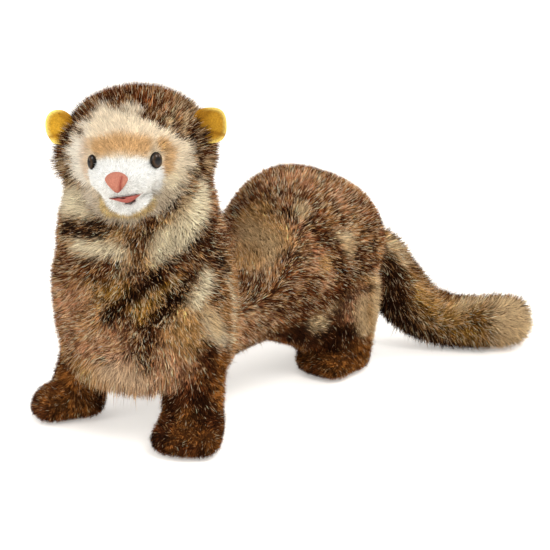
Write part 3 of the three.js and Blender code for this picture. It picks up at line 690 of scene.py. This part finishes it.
def head_colours(x, front, z):
    """The head's colours: a dark cap, a cream face with a tan mask, and a white muzzle."""
    local, flat = np.stack([x, -front, z], 1), np.stack([x, z], 1)
    cap = toned(ROAST, RUSSET, 0.6 * ramp(drift(local, 16, 5), -0.3, 0.9))
    cap = toned(cap, DARK, 0.45 * ramp(drift(local, 12, 6), 0.1, 0.9))
    cap = toned(cap, DARK, 0.8 * hump(np.abs(x) - 50, 13) * ramp(front, -12, 8))
    streaks = hump(x - 39, 12.65) * hump(z - 30, 12.65) + 0.5 * ramp(np.abs(x), 40, 50) * ramp(-z, -8, 10)
    cap = toned(cap, STRAW, 0.6 * streaks * ramp(drift(local, 4, 7), 0.0, 0.7))
    edge = within(x, z, FACE_EDGE, FACE_MIDDLE) + 0.05 * drift(local, 7, 4)
    colours = toned(cap, PALE_FACE, (1 - ramp(edge, 0.93, 1.06)) * ramp(front, 8, 18))
    # Painted light: a lighter spot on the lower cheek by the snout, lifting its shade
    colours = toned(colours, CREAM, 0.6 * hump(x - 32, 10) * hump(z + 14, 9) * ramp(front, 14, 24))
    inner = 1 - ramp(edge, 0.9, 1.0)
    # Painted shade under the face, darker towards its bottom
    colours = toned(colours, OLIVE, 0.25 * ramp(-z, 16, 32) * inner)
    brow = 1 - ramp(off_path(flat, BROW), 3, 10)
    bows = [1 - ramp(off_path(flat, bow), 2, 6) for bow in EYE_BOWS]
    mask = np.maximum(brow, 0.9 * np.maximum(*bows)) * ramp(front, 22, 30)
    colours = toned(colours, MASK, 0.8 * mask)
    colours = toned(colours, WHITE, 0.45 * ramp(-x, 24, 34) * inner * ramp(front, 12, 20))
    # Painted shade in the socket at the upper outer side of one eye
    colours = toned(colours, OLIVE, 0.7 * hump(x - 27.5, 3.5) * hump(z - 11, 5))
    snout = 1 - ramp(within(x, z, SNOUT_EDGE, SNOUT_MIDDLE), 0.86, 1.12)
    return toned(colours, WHITE, snout * ramp(front, 28, 34))


def coat_colours(places, normals, shares):
    """The coat's colour at places on its surface, in the toy's millimetres."""
    head, muzzle, jaw = (share_of(shares, name) for name in ("head", "muzzle", "jaw"))
    x, back, z = head_places(places).T
    face = (1 - ramp(within(x, z, FACE_EDGE, FACE_MIDDLE), 1.0, 1.14)) * ramp(-back, 14, 24)
    over = np.maximum(ramp(head + muzzle + jaw, 0.3, 0.7), face)
    colours = toned(body_colours(places, normals, shares), head_colours(x, -back, z), over)
    # Painted shade: the chin's sides and underside, outside the snout's outline, toned towards CHIN_SHADE
    under = ramp(within(x, z, SNOUT_EDGE, SNOUT_MIDDLE), 0.9, 1.02) * ramp(-z, 18, 24)
    snout = ramp(muzzle + jaw, 0.35, 0.65)
    return toned(toned(colours, WHITE, snout), CHIN_SHADE, snout * under)


def add_node(tree, kind, settings=(), links=()):
    """Adds a shader node with its settings, and links its inputs by name."""
    node = tree.nodes.new(kind)
    for key, value in dict(settings).items():
        if key in node.inputs:
            node.inputs[key].default_value = value
        else:
            setattr(node, key, value)
    for key, source in dict(links).items():
        tree.links.new(source, node.inputs[key])
    return node


def blank_material(name):
    """A material with an empty node tree but for its output."""
    material = bpy.data.materials.new(name)
    material.use_nodes = True
    tree = material.node_tree
    tree.nodes.clear()
    return material, tree, tree.nodes.new("ShaderNodeOutputMaterial")


def rgba(colour):
    """A linear colour with full cover, for a shader."""
    return (*[float(c) for c in colour], 1.0)


def coloured_material(name, roughness, gloss):
    """A material that shows each piece's own colours, painted light and shade among them, with a roughness and
    a gloss.
    """
    material, tree, output = blank_material(name)
    dyed = add_node(tree, "ShaderNodeAttribute", {"attribute_name": "dye_and_painted_light"})
    shader = add_node(
        tree,
        "ShaderNodeBsdfPrincipled",
        {"Roughness": roughness, "Specular IOR Level": gloss},
        {"Base Color": dyed.outputs["Color"]},
    )
    tree.links.new(shader.outputs[0], output.inputs["Surface"])
    return material


def dye_and_painted_light(mesh, colours):
    """Writes linear colours at the mesh's vertices, for its material."""
    layer = mesh.color_attributes.new("dye_and_painted_light", "FLOAT_COLOR", "POINT")
    full = np.ones((len(colours), 4), np.float32)
    full[:, :3] = np.clip(colours, 0, 1)
    layer.data.foreach_set("color", full.ravel())


def unwrapped(piece):
    """Lays the skin out flat as the map that the coat's tufts share."""
    piece.data.uv_layers.new(name="OFBake")
    bpy.ops.object.select_all(action="DESELECT")
    piece.select_set(True)
    bpy.context.view_layer.objects.active = piece
    bpy.ops.object.mode_set(mode="EDIT")
    bpy.ops.mesh.select_all(action="SELECT")
    bpy.ops.uv.smart_project(angle_limit=1.15, island_margin=0.003)
    bpy.ops.object.mode_set(mode="OBJECT")


# Tufts a square millimetre, share that bend, root width in millimetres, and how far tips gather, by region
GROWTH = {
    "chest": (1.8, 0.06, 1.05, 0.62),
    "back": (1.7, 0.06, 1.05, 0.62),
    "leg": (1.8, 0.0, 0.90, 0.50),
    "paw": (2.2, 0.0, 0.75, 0.42),
    "tail": (1.7, 0.08, 1.05, 0.62),
    "head": (2.5, 0.06, 0.80, 0.42),
    "muzzle": (6.0, 0.0, 0.42, 0.10),
    "jaw": (6.0, 0.0, 0.42, 0.10),
}
LOCK, CLUMP = 7, 40  # tufts that gather at their tips, and that share a tone
MOST_TUFTS = {True: 19000, False: 48000}  # most bent, and most straight tufts in one piece
FLYAWAY = 0.05  # share of tufts that stand out from the rest
SOLE_LEVEL, SOLE_SHARE = 1.2 * MM, 0.15  # how high the soles reach, and how much of the pile grows there
TRIM_SEARCH = 12 * MM  # how far from a trim a place on the skin is still tested against it
# Millimetres of bare skin round each trim
TRIM_GAPS = {
    "eye_left": 0.2, "eye_right": 0.2, "nose": 0.3, "mouth_lining": 0.6, "ear_left": 0.1, "ear_right": 0.1,
}
ROOT_SINK = 0.8 * MM  # how far a tuft's root sits in the skin


class Roots:
    """Where tufts grow: places on the skin and its map, directions, sizes and regions."""

    def __init__(self, skin):
        mesh = skin.mesh
        mesh.calc_loop_triangles()
        corners = read(mesh.loop_triangles, "vertices", 3, int)
        loops = read(mesh.loop_triangles, "loops", 3, int)
        area = read(mesh.loop_triangles, "area", 1) / MM**2
        front = -head_places(toy_places(skin.places))[:, 1]
        head = share_of(skin.shares, "head")
        face = ramp(front, 20, 32) * head
        snout = ramp(front, 38, 46) * head
        close, _, width, gather = by_region(skin.shares, GROWTH).T
        close = (close + 0.9 * face + 1.8 * snout) * self.room(skin)
        expected = area * close[corners].mean(1)
        count = int(expected.sum())
        chosen = draw.choice(len(area), count, p=expected / expected.sum())
        weights = draw.dirichlet((1, 1, 1), count)
        verts = corners[chosen]

        def at(values):
            return (values[verts] * weights.reshape(count, 3, *[1] * (values.ndim - 1))).sum(1)

        uv = read(mesh.uv_layers["OFBake"].uv, "vector", 2)
        self.map = (uv[loops[chosen]] * weights[:, :, None]).sum(1)
        self.places = at(skin.places)
        self.normals = unit(at(skin.normals))
        self.depth = at(skin.depth) * MM
        self.shares = at(skin.shares)
        self.region = self.shares.argmax(1)
        fringe = self.fringe()
        coat = self.shares[:, : REGIONS.index("head")].sum(1)
        swirl = 0.45 * drift(toy_places(self.places), 24, 8) * coat
        lies = unit(at(skin.lies))
        side = np.cross(self.normals, lies)
        lies = lies * np.cos(swirl)[:, None] + side * np.sin(swirl)[:, None]
        self.lies = unit(toned(lies, unit(np.array([0, 0, -1.0]) + 0.2 * self.normals), fringe))
        self.stand = np.radians(at(skin.stand) * (1 - fringe) + HEM_STAND * fringe)
        self.width = at(width - 0.15 * face - 0.15 * snout) * MM
        self.gather = at(gather - 0.26 * face) + 0.2 * fringe
        self.shag = self.cap_shag()

    def fringe(self):
        """One where the long pile of the chest's hem hangs down, in front and at the sides."""
        places = toy_places(self.places)
        low = ramp(-places[:, 2], -72, -60) * ramp(places[:, 2], 44, 50)
        ahead = ramp(-places[:, 1], 68, 84)
        return low * ahead * ramp(share_of(self.shares, "chest"), 0.4, 0.9)

    def cap_shag(self):
        """How much longer the cap's pile is than the face's, most at its right side."""
        local = head_places(toy_places(self.places))
        cap = share_of(self.shares, "head") * ramp(local[:, 1], -24, -8)
        low = ramp(-local[:, 2], -16, 6)
        return 1 + cap * (0.15 + 0.7 * low * ramp(-local[:, 0], 20, 45))

    @staticmethod
    def room(skin):
        """One where tufts grow, little under the soles, and nought where a trim of the head is."""
        places = skin.places
        room = np.ones(len(places))
        room[places[:, 2] < SOLE_LEVEL] = SOLE_SHARE
        near = np.flatnonzero(skin.shares[:, REGIONS.index("head") :].sum(1) > 0.3)
        for name, gap in TRIM_GAPS.items():
            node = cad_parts[name].data
            solid = BVHTree.FromPolygons([v.co for v in node.vertices], [p.vertices for p in node.polygons])
            for index in near:
                place = Vector(places[index])
                hit, facing, _, distance = solid.find_nearest(place, TRIM_SEARCH)
                if hit and (distance < gap * MM or (place - hit).dot(facing) < 0):
                    room[index] = 0
        return room


# Corners of a tuft: three round the root, three half way if it bends, and the tip
TUFT_FACES = {
    True: [(2, 1, 0), (0, 1, 4, 3), (1, 2, 5, 4), (2, 0, 3, 5), (3, 4, 6), (4, 5, 6), (5, 3, 6)],
    False: [(2, 1, 0), (0, 1, 3), (1, 2, 3), (2, 0, 3)],
}
# How a dark and a pale tuft's colour changes from its root to its middle and tip: painted shade at the root,
# where the fibres shade each other, and a painted glint at the tip
TUFT_SHADE_AND_GLINT = {"dark": (0.12, 0.65, 1.6), "pale": (0.86, 1.0, 1.06)}
PATCH = 0.003  # a tuft's width on the map
LOWEST = 0.3 * MM  # the pile lies on the floor and never below it
HEM_STAND = 38  # degrees from the chest's side at which the hem's long pile hangs


def tuft_points(roots, pick, bent, pull):
    """Corners of the picked tufts, and the direction that each corner's light is taken from."""
    count = len(pick)
    place, normal, lie = roots.places[pick], roots.normals[pick], roots.lies[pick]
    side = np.cross(normal, lie)
    swing = draw.normal(0, 0.5, count)[:, None]
    lie = unit(lie * np.cos(swing) + side * np.sin(swing))
    stray = draw.uniform(0, 1, count) < FLYAWAY
    stand = np.clip(roots.stand[pick] + draw.normal(0, 0.22, count) + 0.3 * stray, 0.2, 1.5)
    length = roots.depth[pick] / np.sin(roots.stand[pick]) * draw.uniform(0.66, 1.1, count)
    length = length * np.where(stray, draw.uniform(1.1, 1.5, count), 1) * roots.shag[pick]
    width = roots.width[pick] * draw.uniform(0.75, 1.25, count) * np.where(stray, 0.7, 1)

    def heading(angle):
        return lie * np.cos(angle)[:, None] + normal * np.sin(angle)[:, None]

    first = heading(stand + (0.2 if bent else 0.0))
    second = heading(stand - 0.25) if bent else first
    root = place - normal * ROOT_SINK
    middle = place + first * (length * 0.5)[:, None]
    tip = middle + second * (length * 0.5)[:, None]
    gathered = pull[pick] * (roots.gather[pick] * draw.uniform(0.4, 1.6, count) * ~stray)[:, None]
    tip = tip + gathered
    middle = middle + gathered * 0.35
    across = unit(np.cross(tip - root, side + 0.3 * normal))
    other = unit(np.cross(tip - root, across))
    spin = draw.uniform(0, 2 * math.pi, count)
    points, facing = [], []
    for centre, share in [(root, 0.5)] + [(middle, 0.42)] * bent:
        for step in range(3):
            angle = spin + step * 2 * math.pi / 3
            out = across * np.cos(angle)[:, None] + other * np.sin(angle)[:, None]
            points.append(centre + out * (width * share)[:, None])
            facing.append(unit(out * 0.8 + normal))
    points.append(tip)
    facing.append(unit(normal + 0.5 * heading(stand)))
    points = np.stack(points, 1)
    points[:, :, 2] = np.maximum(points[:, :, 2], LOWEST)
    return points, np.stack(facing, 1)


def tuft_mesh(name, points, facing, colours, tips, maps, bent):
    """One mesh of many like tufts, from arrays."""
    faces = TUFT_FACES[bent]
    count, each = points.shape[:2]
    corner = np.concatenate([np.array(f) for f in faces])
    first = np.cumsum([0] + [len(f) for f in faces[:-1]])
    mesh = bpy.data.meshes.new(name)
    mesh.vertices.add(count * each)
    mesh.loops.add(count * len(corner))
    mesh.polygons.add(count * len(faces))
    mesh.vertices.foreach_set("co", points.astype(np.float32).ravel())
    corners = (np.arange(count)[:, None] * each + corner).astype(np.int32).ravel()
    mesh.loops.foreach_set("vertex_index", corners)
    starts = np.arange(count)[:, None] * len(corner) + first
    mesh.polygons.foreach_set("loop_start", starts.astype(np.int32).ravel())
    mesh.polygons.foreach_set("use_smooth", np.ones(count * len(faces), bool))
    mesh.update(calc_edges=True)
    light = mesh.attributes.new("custom_normal", "FLOAT_VECTOR", "POINT")
    light.data.foreach_set("vector", facing.astype(np.float32).ravel())
    # Painted shade at each tuft's root and a painted glint at its tip, less of both in pale pile
    pale = ramp(colours.max(1), 0.3, 0.65)[:, None]
    root, middle, tip = (low + (high - low) * pale for low, high in zip(TUFT_SHADE_AND_GLINT["dark"], TUFT_SHADE_AND_GLINT["pale"]))
    rows = [colours * root] * 3 + [colours * middle] * 3 * bent + [tips * tip]
    dye_and_painted_light(mesh, np.stack(rows, 1).reshape(-1, 3))
    layer = mesh.uv_layers.new(name="OFBake")
    turn = 2 * math.pi * np.arange(each) / 3
    reach = np.where(np.arange(each) < 3, 0.5, 0.25) * (np.arange(each) < each - 1) * PATCH
    spot = np.stack([np.cos(turn) * reach, np.sin(turn) * reach], 1)
    flat = (maps[:, None, :] + spot).reshape(-1, 2)[corners]
    layer.uv.foreach_set("vector", flat.astype(np.float32).ravel())
    return mesh


def clumps(roots, size):
    """For each root, the middle of its clump, where clumps hold about this many tufts."""
    centres = np.arange(0, len(roots.places), size)
    tree = KDTree(len(centres))
    for index in centres:
        tree.insert(roots.places[index], int(index))
    tree.balance()
    return np.array([tree.find(place)[1] for place in roots.places])


# Share of tufts with frosted tips, by region
FROSTED = {
    "chest": 0.37, "back": 0.37, "leg": 0.07, "paw": 0.06, "tail": 0.32, "head": 0.22, "muzzle": 0, "jaw": 0,
}


def tuft_colours(roots, lock, clump):
    """Each tuft's own colour and its tip's: dark with frosted tips in the brown coat, even in the pale."""
    slant = roots.depth / np.tan(roots.stand) * 0.7
    surface = toy_places(roots.places + roots.normals * roots.depth[:, None] + roots.lies * slant[:, None])
    fine = roots.shares[:, REGIONS.index("head") :].sum(1)
    surface = surface + draw.normal(0, 1, surface.shape) * (0.9 - 0.4 * fine)[:, None]
    colours = coat_colours(surface, roots.normals, roots.shares)
    count = len(colours)
    pale = ramp(colours.max(1), 0.2, 0.6)
    tone = draw.normal(0, 0.6, count) + draw.normal(0, 0.45, count)[lock]
    tone = tone + draw.normal(0, 0.25, count)[clump]
    colours = colours * np.exp(tone * (1 - 0.8 * pale))[:, None]
    deep = 1 - ramp(colours.max(1), 0.01, 0.06)
    chance = by_region(roots.shares, FROSTED) * (1 - pale) * (1 - 0.85 * deep)
    frosted = draw.uniform(0, 1, count) < chance * np.exp(draw.normal(-0.3, 0.9, count))[lock]
    frost = np.where((draw.uniform(0, 1, count) < 0.5)[:, None], FROST, BUFF)
    much = frosted * draw.uniform(0.5, 1.0, count)
    tips = toned(colours, frost, much)
    colours = toned(colours, frost, much * 0.35)
    speckled = (draw.uniform(0, 1, count) < 0.25) * pale * (1 - fine) * draw.uniform(0.3, 0.9, count)
    colours, tips = toned(colours, BROWN, speckled), toned(tips, BROWN, speckled)
    return colours, tips * np.exp(draw.normal(0, 0.25, count) * (1 - 0.8 * pale))[:, None]


def grow_coat(roots, plush):
    """Grows the pile of each region, its few bent guard tufts and its many straight ones apart."""
    lock, clump = clumps(roots, LOCK), clumps(roots, CLUMP)
    pull = roots.places[lock] - roots.places
    colours, tips = tuft_colours(roots, lock, clump)
    bends = draw.uniform(0, 1, len(colours)) < np.array([GROWTH[r][1] for r in REGIONS])[roots.region]
    for number, region in enumerate(REGIONS):
        for bent in (True, False):
            pick = np.flatnonzero((roots.region == number) & (bends == bent))
            most = MOST_TUFTS[bent]
            for part in range(math.ceil(len(pick) / most)):
                some = pick[part * most : (part + 1) * most]
                name = f"{region}_{'guard' if bent else 'under'}_pile_{part + 1}"
                points, facing = tuft_points(roots, some, bent, pull)
                mesh = tuft_mesh(name, points, facing, colours[some], tips[some], roots.map[some], bent)
                mesh.materials.append(plush)
                piece = placed(name, mesh)
                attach(piece, "root")


# CAD nodes that the one skin takes the place of, and how much darker its backing is than the pile: painted
# shade between the roots
FLESH = [
    "chest", "neck", "torso", "rump", "head", "muzzle", "jaw", "tail_base", "tail_brush",
    "foreleg_left", "foreleg_right", "forepaw_left", "forepaw_right",
    "hindleg_left", "hindleg_right", "hindpaw_left", "hindpaw_right",
]
BACKING_SHADE = 0.6

body = build_body()
skin = Skin(body)
body.mesh.free()
# Knitted backing: matt cloth that shows only between the roots, darkened there as painted shade
backing = coloured_material("knitted_backing_cloth", 0.9, 0.1)
# Plush: acrylic pile dyed in the fibre, drawn so fine that it takes soft light and hardly shines
plush = coloured_material("dyed_acrylic_plush", 0.65, 0.03)
cloth = placed("sewn_skin", skin.mesh)
unwrapped(cloth)
surface = toy_places(skin.places + skin.normals * (skin.depth * MM)[:, None])
# The backing takes the coat's colours, darkened as painted shade
dye_and_painted_light(skin.mesh, coat_colours(surface, skin.normals, skin.shares) * BACKING_SHADE)
skin.mesh.materials.clear()
skin.mesh.materials.append(backing)
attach(cloth, "root")
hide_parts(*FLESH)
roots = Roots(skin)
grow_coat(roots, plush)


def nap_material(name, roughness, grain, height):
    """A trim's cloth: its own colours, painted light and shade among them, under a fine nap of this grain and
    height in millimetres.
    """
    material, tree, output = blank_material(name)
    dyed = add_node(tree, "ShaderNodeAttribute", {"attribute_name": "dye_and_painted_light"})
    place = add_node(tree, "ShaderNodeTexCoord")
    fuzz = add_node(
        tree,
        "ShaderNodeTexNoise",
        {"Scale": 1 / (grain * MM), "Detail": 4.0},
        {"Vector": place.outputs["Object"]},
    )
    uneven = add_node(
        tree,
        "ShaderNodeMapRange",
        {"From Min": 0.3, "From Max": 0.7, "To Min": 0.72, "To Max": 1.18},
        {"Value": fuzz.outputs["Fac"]},
    )
    scale = {"Scale": uneven.outputs["Result"]}
    shade = add_node(tree, "ShaderNodeVectorMath", {"operation": "SCALE"}, scale)
    tree.links.new(dyed.outputs["Color"], shade.inputs[0])
    raised = add_node(
        tree, "ShaderNodeBump", {"Strength": 0.5, "Distance": height * MM}, {"Height": fuzz.outputs["Fac"]}
    )
    shader = add_node(
        tree,
        "ShaderNodeBsdfPrincipled",
        {"Roughness": roughness, "Specular IOR Level": 0.1},
        {"Base Color": shade.outputs["Vector"], "Normal": raised.outputs["Normal"]},
    )
    tree.links.new(shader.outputs[0], output.inputs["Surface"])
    return material


def node_middle(name):
    """The middle of a CAD node in the head's own millimetres."""
    local = head_places(toy_places([v.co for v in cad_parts[name].data.vertices]))
    return (local.min(0) + local.max(0)) / 2


def turned(places, angle):
    """Places turned about the upright axis."""
    c, s = math.cos(angle), math.sin(angle)
    return places @ np.array([[c, s, 0], [-s, c, 0], [0, 0, 1]])


def head_piece(name, shape, around, along, material, node):
    """A ball of this many segments, given its places and colours by shape, in place of a CAD node."""
    ball = bmesh.new()
    bmesh.ops.create_uvsphere(ball, u_segments=around, v_segments=along, radius=1)
    local, colours = shape(np.array([v.co for v in ball.verts]))
    for vert, place in zip(ball.verts, head_frame(local)):
        vert.co = place
    bmesh.ops.recalc_face_normals(ball, faces=ball.faces)
    mesh = bpy.data.meshes.new(name)
    ball.to_mesh(mesh)
    ball.free()
    mesh.polygons.foreach_set("use_smooth", np.ones(len(mesh.polygons), bool))
    dye_and_painted_light(mesh, colours)
    mesh.materials.append(material)
    piece = placed(name, mesh)
    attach(piece, "root")
    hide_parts(node)


SIDES = {"left": 1, "right": -1}
EYE_TURN = 0.6
EYE_SHIFTS = {"left": (-0.1, 0.9, -1.1), "right": (0.8, 0.9, 0)}
EYE_SIZES = {"left": (4.3, 3.8, 5.7), "right": (3.0, 3.6, 5.3)}
EAR_REACH = 52.5
EAR_LEVEL = 19.5
MOUTH_LEVEL = -19.3
# How each ear is tinted for the light on it: painted light and shade on the one suede
EAR_LIGHT_TINTS = {"left": (0.9, 0.93, 1.0), "right": (1.2, 1.3, 1.4)}
SUEDE = hex_colour("#AC7C20")
# A painted highlight on the suede's rim, and painted shade in its hollow and folds
SUEDE_RIM_HIGHLIGHT = hex_colour("#D9BC62")
SUEDE_SHADE = hex_colour("#8C5A10")
CORAL = hex_colour("#A56A58")
# Painted shade of the velour nose, in its crease and underneath
CORAL_SHADE = hex_colour("#7A2F28")
FELT = hex_colour("#96544A")
# Painted shade of the felt smile, under the lip and at its ends
FELT_SHADE = hex_colour("#5E1E1A")
BLACK = hex_colour("#070504")
UMBER_RING = hex_colour("#33220F")


def eye_shape(side):
    """A domed oval, black with a dark brown ring."""

    def shape(ball):
        local = turned(ball * EYE_SIZES[side], SIDES[side] * EYE_TURN)
        local = local + node_middle("eye_" + side) + EYE_SHIFTS[side]
        off = np.hypot(ball[:, 0], ball[:, 2])
        ring = ramp(off, 0.42, 0.6) * (1 - ramp(off, 0.75, 0.95))
        return local, toned(BLACK, UMBER_RING, ring)

    return shape


def nose_shape(ball):
    """A rounded triangle, point down, with a sewn crease down its left side."""
    x, y, z = ball.T
    wide = 8.6 * (0.52 + 0.48 * ramp(z, -1.0, 0.35))
    local = np.stack([x * wide, y * 6.4, np.where(z > 0, z * 6.6, z * 8.6)], 1)
    flat = local[:, [0, 2]]
    seam = off_line(flat, (4.9, 3.5), (2.6, -6.5))
    dent = hump(seam, 0.7) * (y < 0)
    local[:, 1] += 1.1 * dent + 0.8 * ramp(-z, 0.1, 0.9) * (y < 0)
    # Painted shade in the sewn crease and under the nose
    colours = toned(CORAL, CORAL_SHADE, 0.8 * hump(seam, 0.9))
    colours = toned(colours, CORAL_SHADE, 0.5 * ramp(-z, 0.6, 0.95))
    return local * 0.93 + node_middle("nose") + [0, 0, 1.4], colours


def mouth_shape(ball):
    """A crescent of felt for the smile, fullest left of its middle and thin at its ends."""
    x = ball[:, 0] * 12.2 + 2.6
    full = 0.5 + 4.8 * hump(x - 5.5, 8)
    line = MOUTH_LEVEL + 0.12 * (x + 5)
    level = line + ball[:, 2] * np.where(ball[:, 2] < 0, full, 0.6)
    local = np.stack([x, -63.2 + 0.012 * x * x + 14 * (1 + ball[:, 1]) ** 1.6, level], 1)
    # Painted shade under the upper lip and at the smile's ends
    deep = 0.6 * ramp(ball[:, 2], -0.1, 0.5) + 0.4 * ramp(np.abs(ball[:, 0]), 0.6, 1.0)
    return local, toned(FELT, FELT_SHADE, np.clip(deep, 0, 1))


def ear_shape(side):
    """A squarish leaf of suede cloth, cupped forwards, with a fold across its lower part."""
    sign = SIDES[side]
    square = {"left": 2.7, "right": 2.2}[side]

    def shape(ball):
        x, y, z = ball.T
        off = np.hypot(x, z)
        corner = (np.abs(x) ** square + np.abs(z) ** square) ** (1 / square)
        spread = off / np.maximum(corner, 1e-6)
        across, up = x * spread * 11.8, z * spread * 12.4
        cup = 4.6 * (1 - off**2) - 0.9 * hump(off - 0.9, 0.1)
        fold = off_line(np.stack([across * sign, up], 1), (-6, -4.5), (10, -7.5))
        crease = off_line(np.stack([across * sign, up], 1), (-6, 2.5), (0.5, 9))
        dent = 1.3 * hump(fold, 1.1) + 0.9 * hump(crease, 1.0)
        depth = cup + y * 1.1 + dent * (y < 0) - 1.2 * ramp(-up, 7.5, 12) * (y < 0)
        local = turned(np.stack([across, depth - 2.0, up], 1), sign * 0.25)
        # Painted shade towards the head and in the fold and crease, and a painted highlight round the rim
        colours = toned(SUEDE, SUEDE_SHADE, 0.75 * ramp(-sign * across, -5, 8))
        colours = toned(colours, SUEDE_RIM_HIGHLIGHT, 0.8 * ramp(off, 0.72, 0.95) * ramp(sign * across, -6, 4))
        colours = toned(colours, SUEDE_SHADE, 0.8 * hump(fold, 1.3))
        colours = toned(colours, SUEDE_SHADE, 0.6 * hump(crease, 1.2))
        # Each ear tinted for its light, as painted light and shade
        return local + [sign * EAR_REACH, -2, EAR_LEVEL], colours * EAR_LIGHT_TINTS[side]

    return shape


# Eyes: domed buttons of moulded plastic, polished, with a brown ring in the black
button = coloured_material("polished_black_plastic", 0.07, 0.25)
# Ears: suede cloth, brushed to a dull nap
suede = nap_material("brushed_mustard_suede_cloth", 0.9, 1.1, 0.10)
# Nose: velour, whose short dense pile shades it softly
velour = nap_material("coral_velour", 0.85, 0.8, 0.16)
# Mouth: felt, pressed flat and quite without gloss
felt = nap_material("pressed_red_felt", 0.95, 0.7, 0.14)
for side in SIDES:
    head_piece("button_eye_" + side, eye_shape(side), 28, 18, button, "eye_" + side)
    head_piece("suede_ear_" + side, ear_shape(side), 56, 40, suede, "ear_" + side)
head_piece("velour_nose", nose_shape, 48, 36, velour, "nose")
head_piece("felt_smile", mouth_shape, 40, 24, felt, "mouth_lining")


def floor():
    """A plain pale floor, wide enough for every view, that glows faintly: painted light that lifts the shadows
    on it.
    """
    flat = bmesh.new()
    bmesh.ops.create_grid(flat, x_segments=1, y_segments=1, size=6)
    mesh = bpy.data.meshes.new("pale_floor")
    flat.to_mesh(mesh)
    flat.free()
    material, tree, output = blank_material("glowing_white_board")
    white = rgba(hex_colour("#FAF6F0"))
    shader = add_node(
        # The faint glow is painted light, lifting the shadows cast on the board
        tree,
        "ShaderNodeBsdfPrincipled",
        {"Base Color": white, "Roughness": 0.9, "Emission Color": white, "Emission Strength": 0.4},
    )
    tree.links.new(shader.outputs[0], output.inputs["Surface"])
    mesh.materials.append(material)
    piece = placed("pale_floor", mesh)


def soft_light(name, place, size, power):
    """A round softbox that faces the toy."""
    lamp = bpy.data.lights.new(name, "AREA")
    lamp.shape = "DISK"
    lamp.size = size
    lamp.energy = power
    holder = bpy.data.objects.new(name, lamp)
    holder.location = place
    holder.rotation_euler = (aim - Vector(place)).to_track_quat("-Z", "Y").to_euler()
    bpy.context.scene.collection.objects.link(holder)


# The photograph's view: degrees round from the front and up, metres away, and its width and focus in pixels
CAMERA_AZIMUTH = 36
CAMERA_RISE = 16
CAMERA_REACH = 1.05
PHOTO_WIDTH = 550
PHOTO_FOCUS = 1400
SENSOR = 36.0
aim = Vector(frame_places((60, 0, 110)))


def around(azimuth, rise, reach):
    """A place round the toy, by its degrees round from the front and up, and its distance."""
    a, e = math.radians(azimuth), math.radians(rise)
    return aim + Vector((math.sin(a) * math.cos(e), -math.cos(a) * math.cos(e), math.sin(e))) * reach


floor()
world = bpy.data.worlds.new("white_studio")
bpy.context.scene.world = world
world.use_nodes = True
world.node_tree.nodes["Background"].inputs["Color"].default_value = (1, 1, 1, 1)
world.node_tree.nodes["Background"].inputs["Strength"].default_value = 1.0
soft_light("key_softbox", around(58, 48, 1.2), 0.6, 8)
soft_light("front_fill", around(-15, 25, 1.3), 0.8, 5)
soft_light("rim_softbox", around(140, 35, 1.2), 0.5, 3)

lens = bpy.data.cameras.new("camera")
lens.sensor_width = SENSOR
lens.lens = SENSOR * PHOTO_FOCUS / PHOTO_WIDTH
camera = bpy.data.objects.new("camera", lens)
camera.location = around(CAMERA_AZIMUTH, CAMERA_RISE, CAMERA_REACH)
camera.rotation_euler = (aim - camera.location).to_track_quat("-Z", "Y").to_euler()
bpy.context.scene.collection.objects.link(camera)
bpy.context.scene.camera = camera
bpy.context.scene.view_settings.view_transform = "Standard"
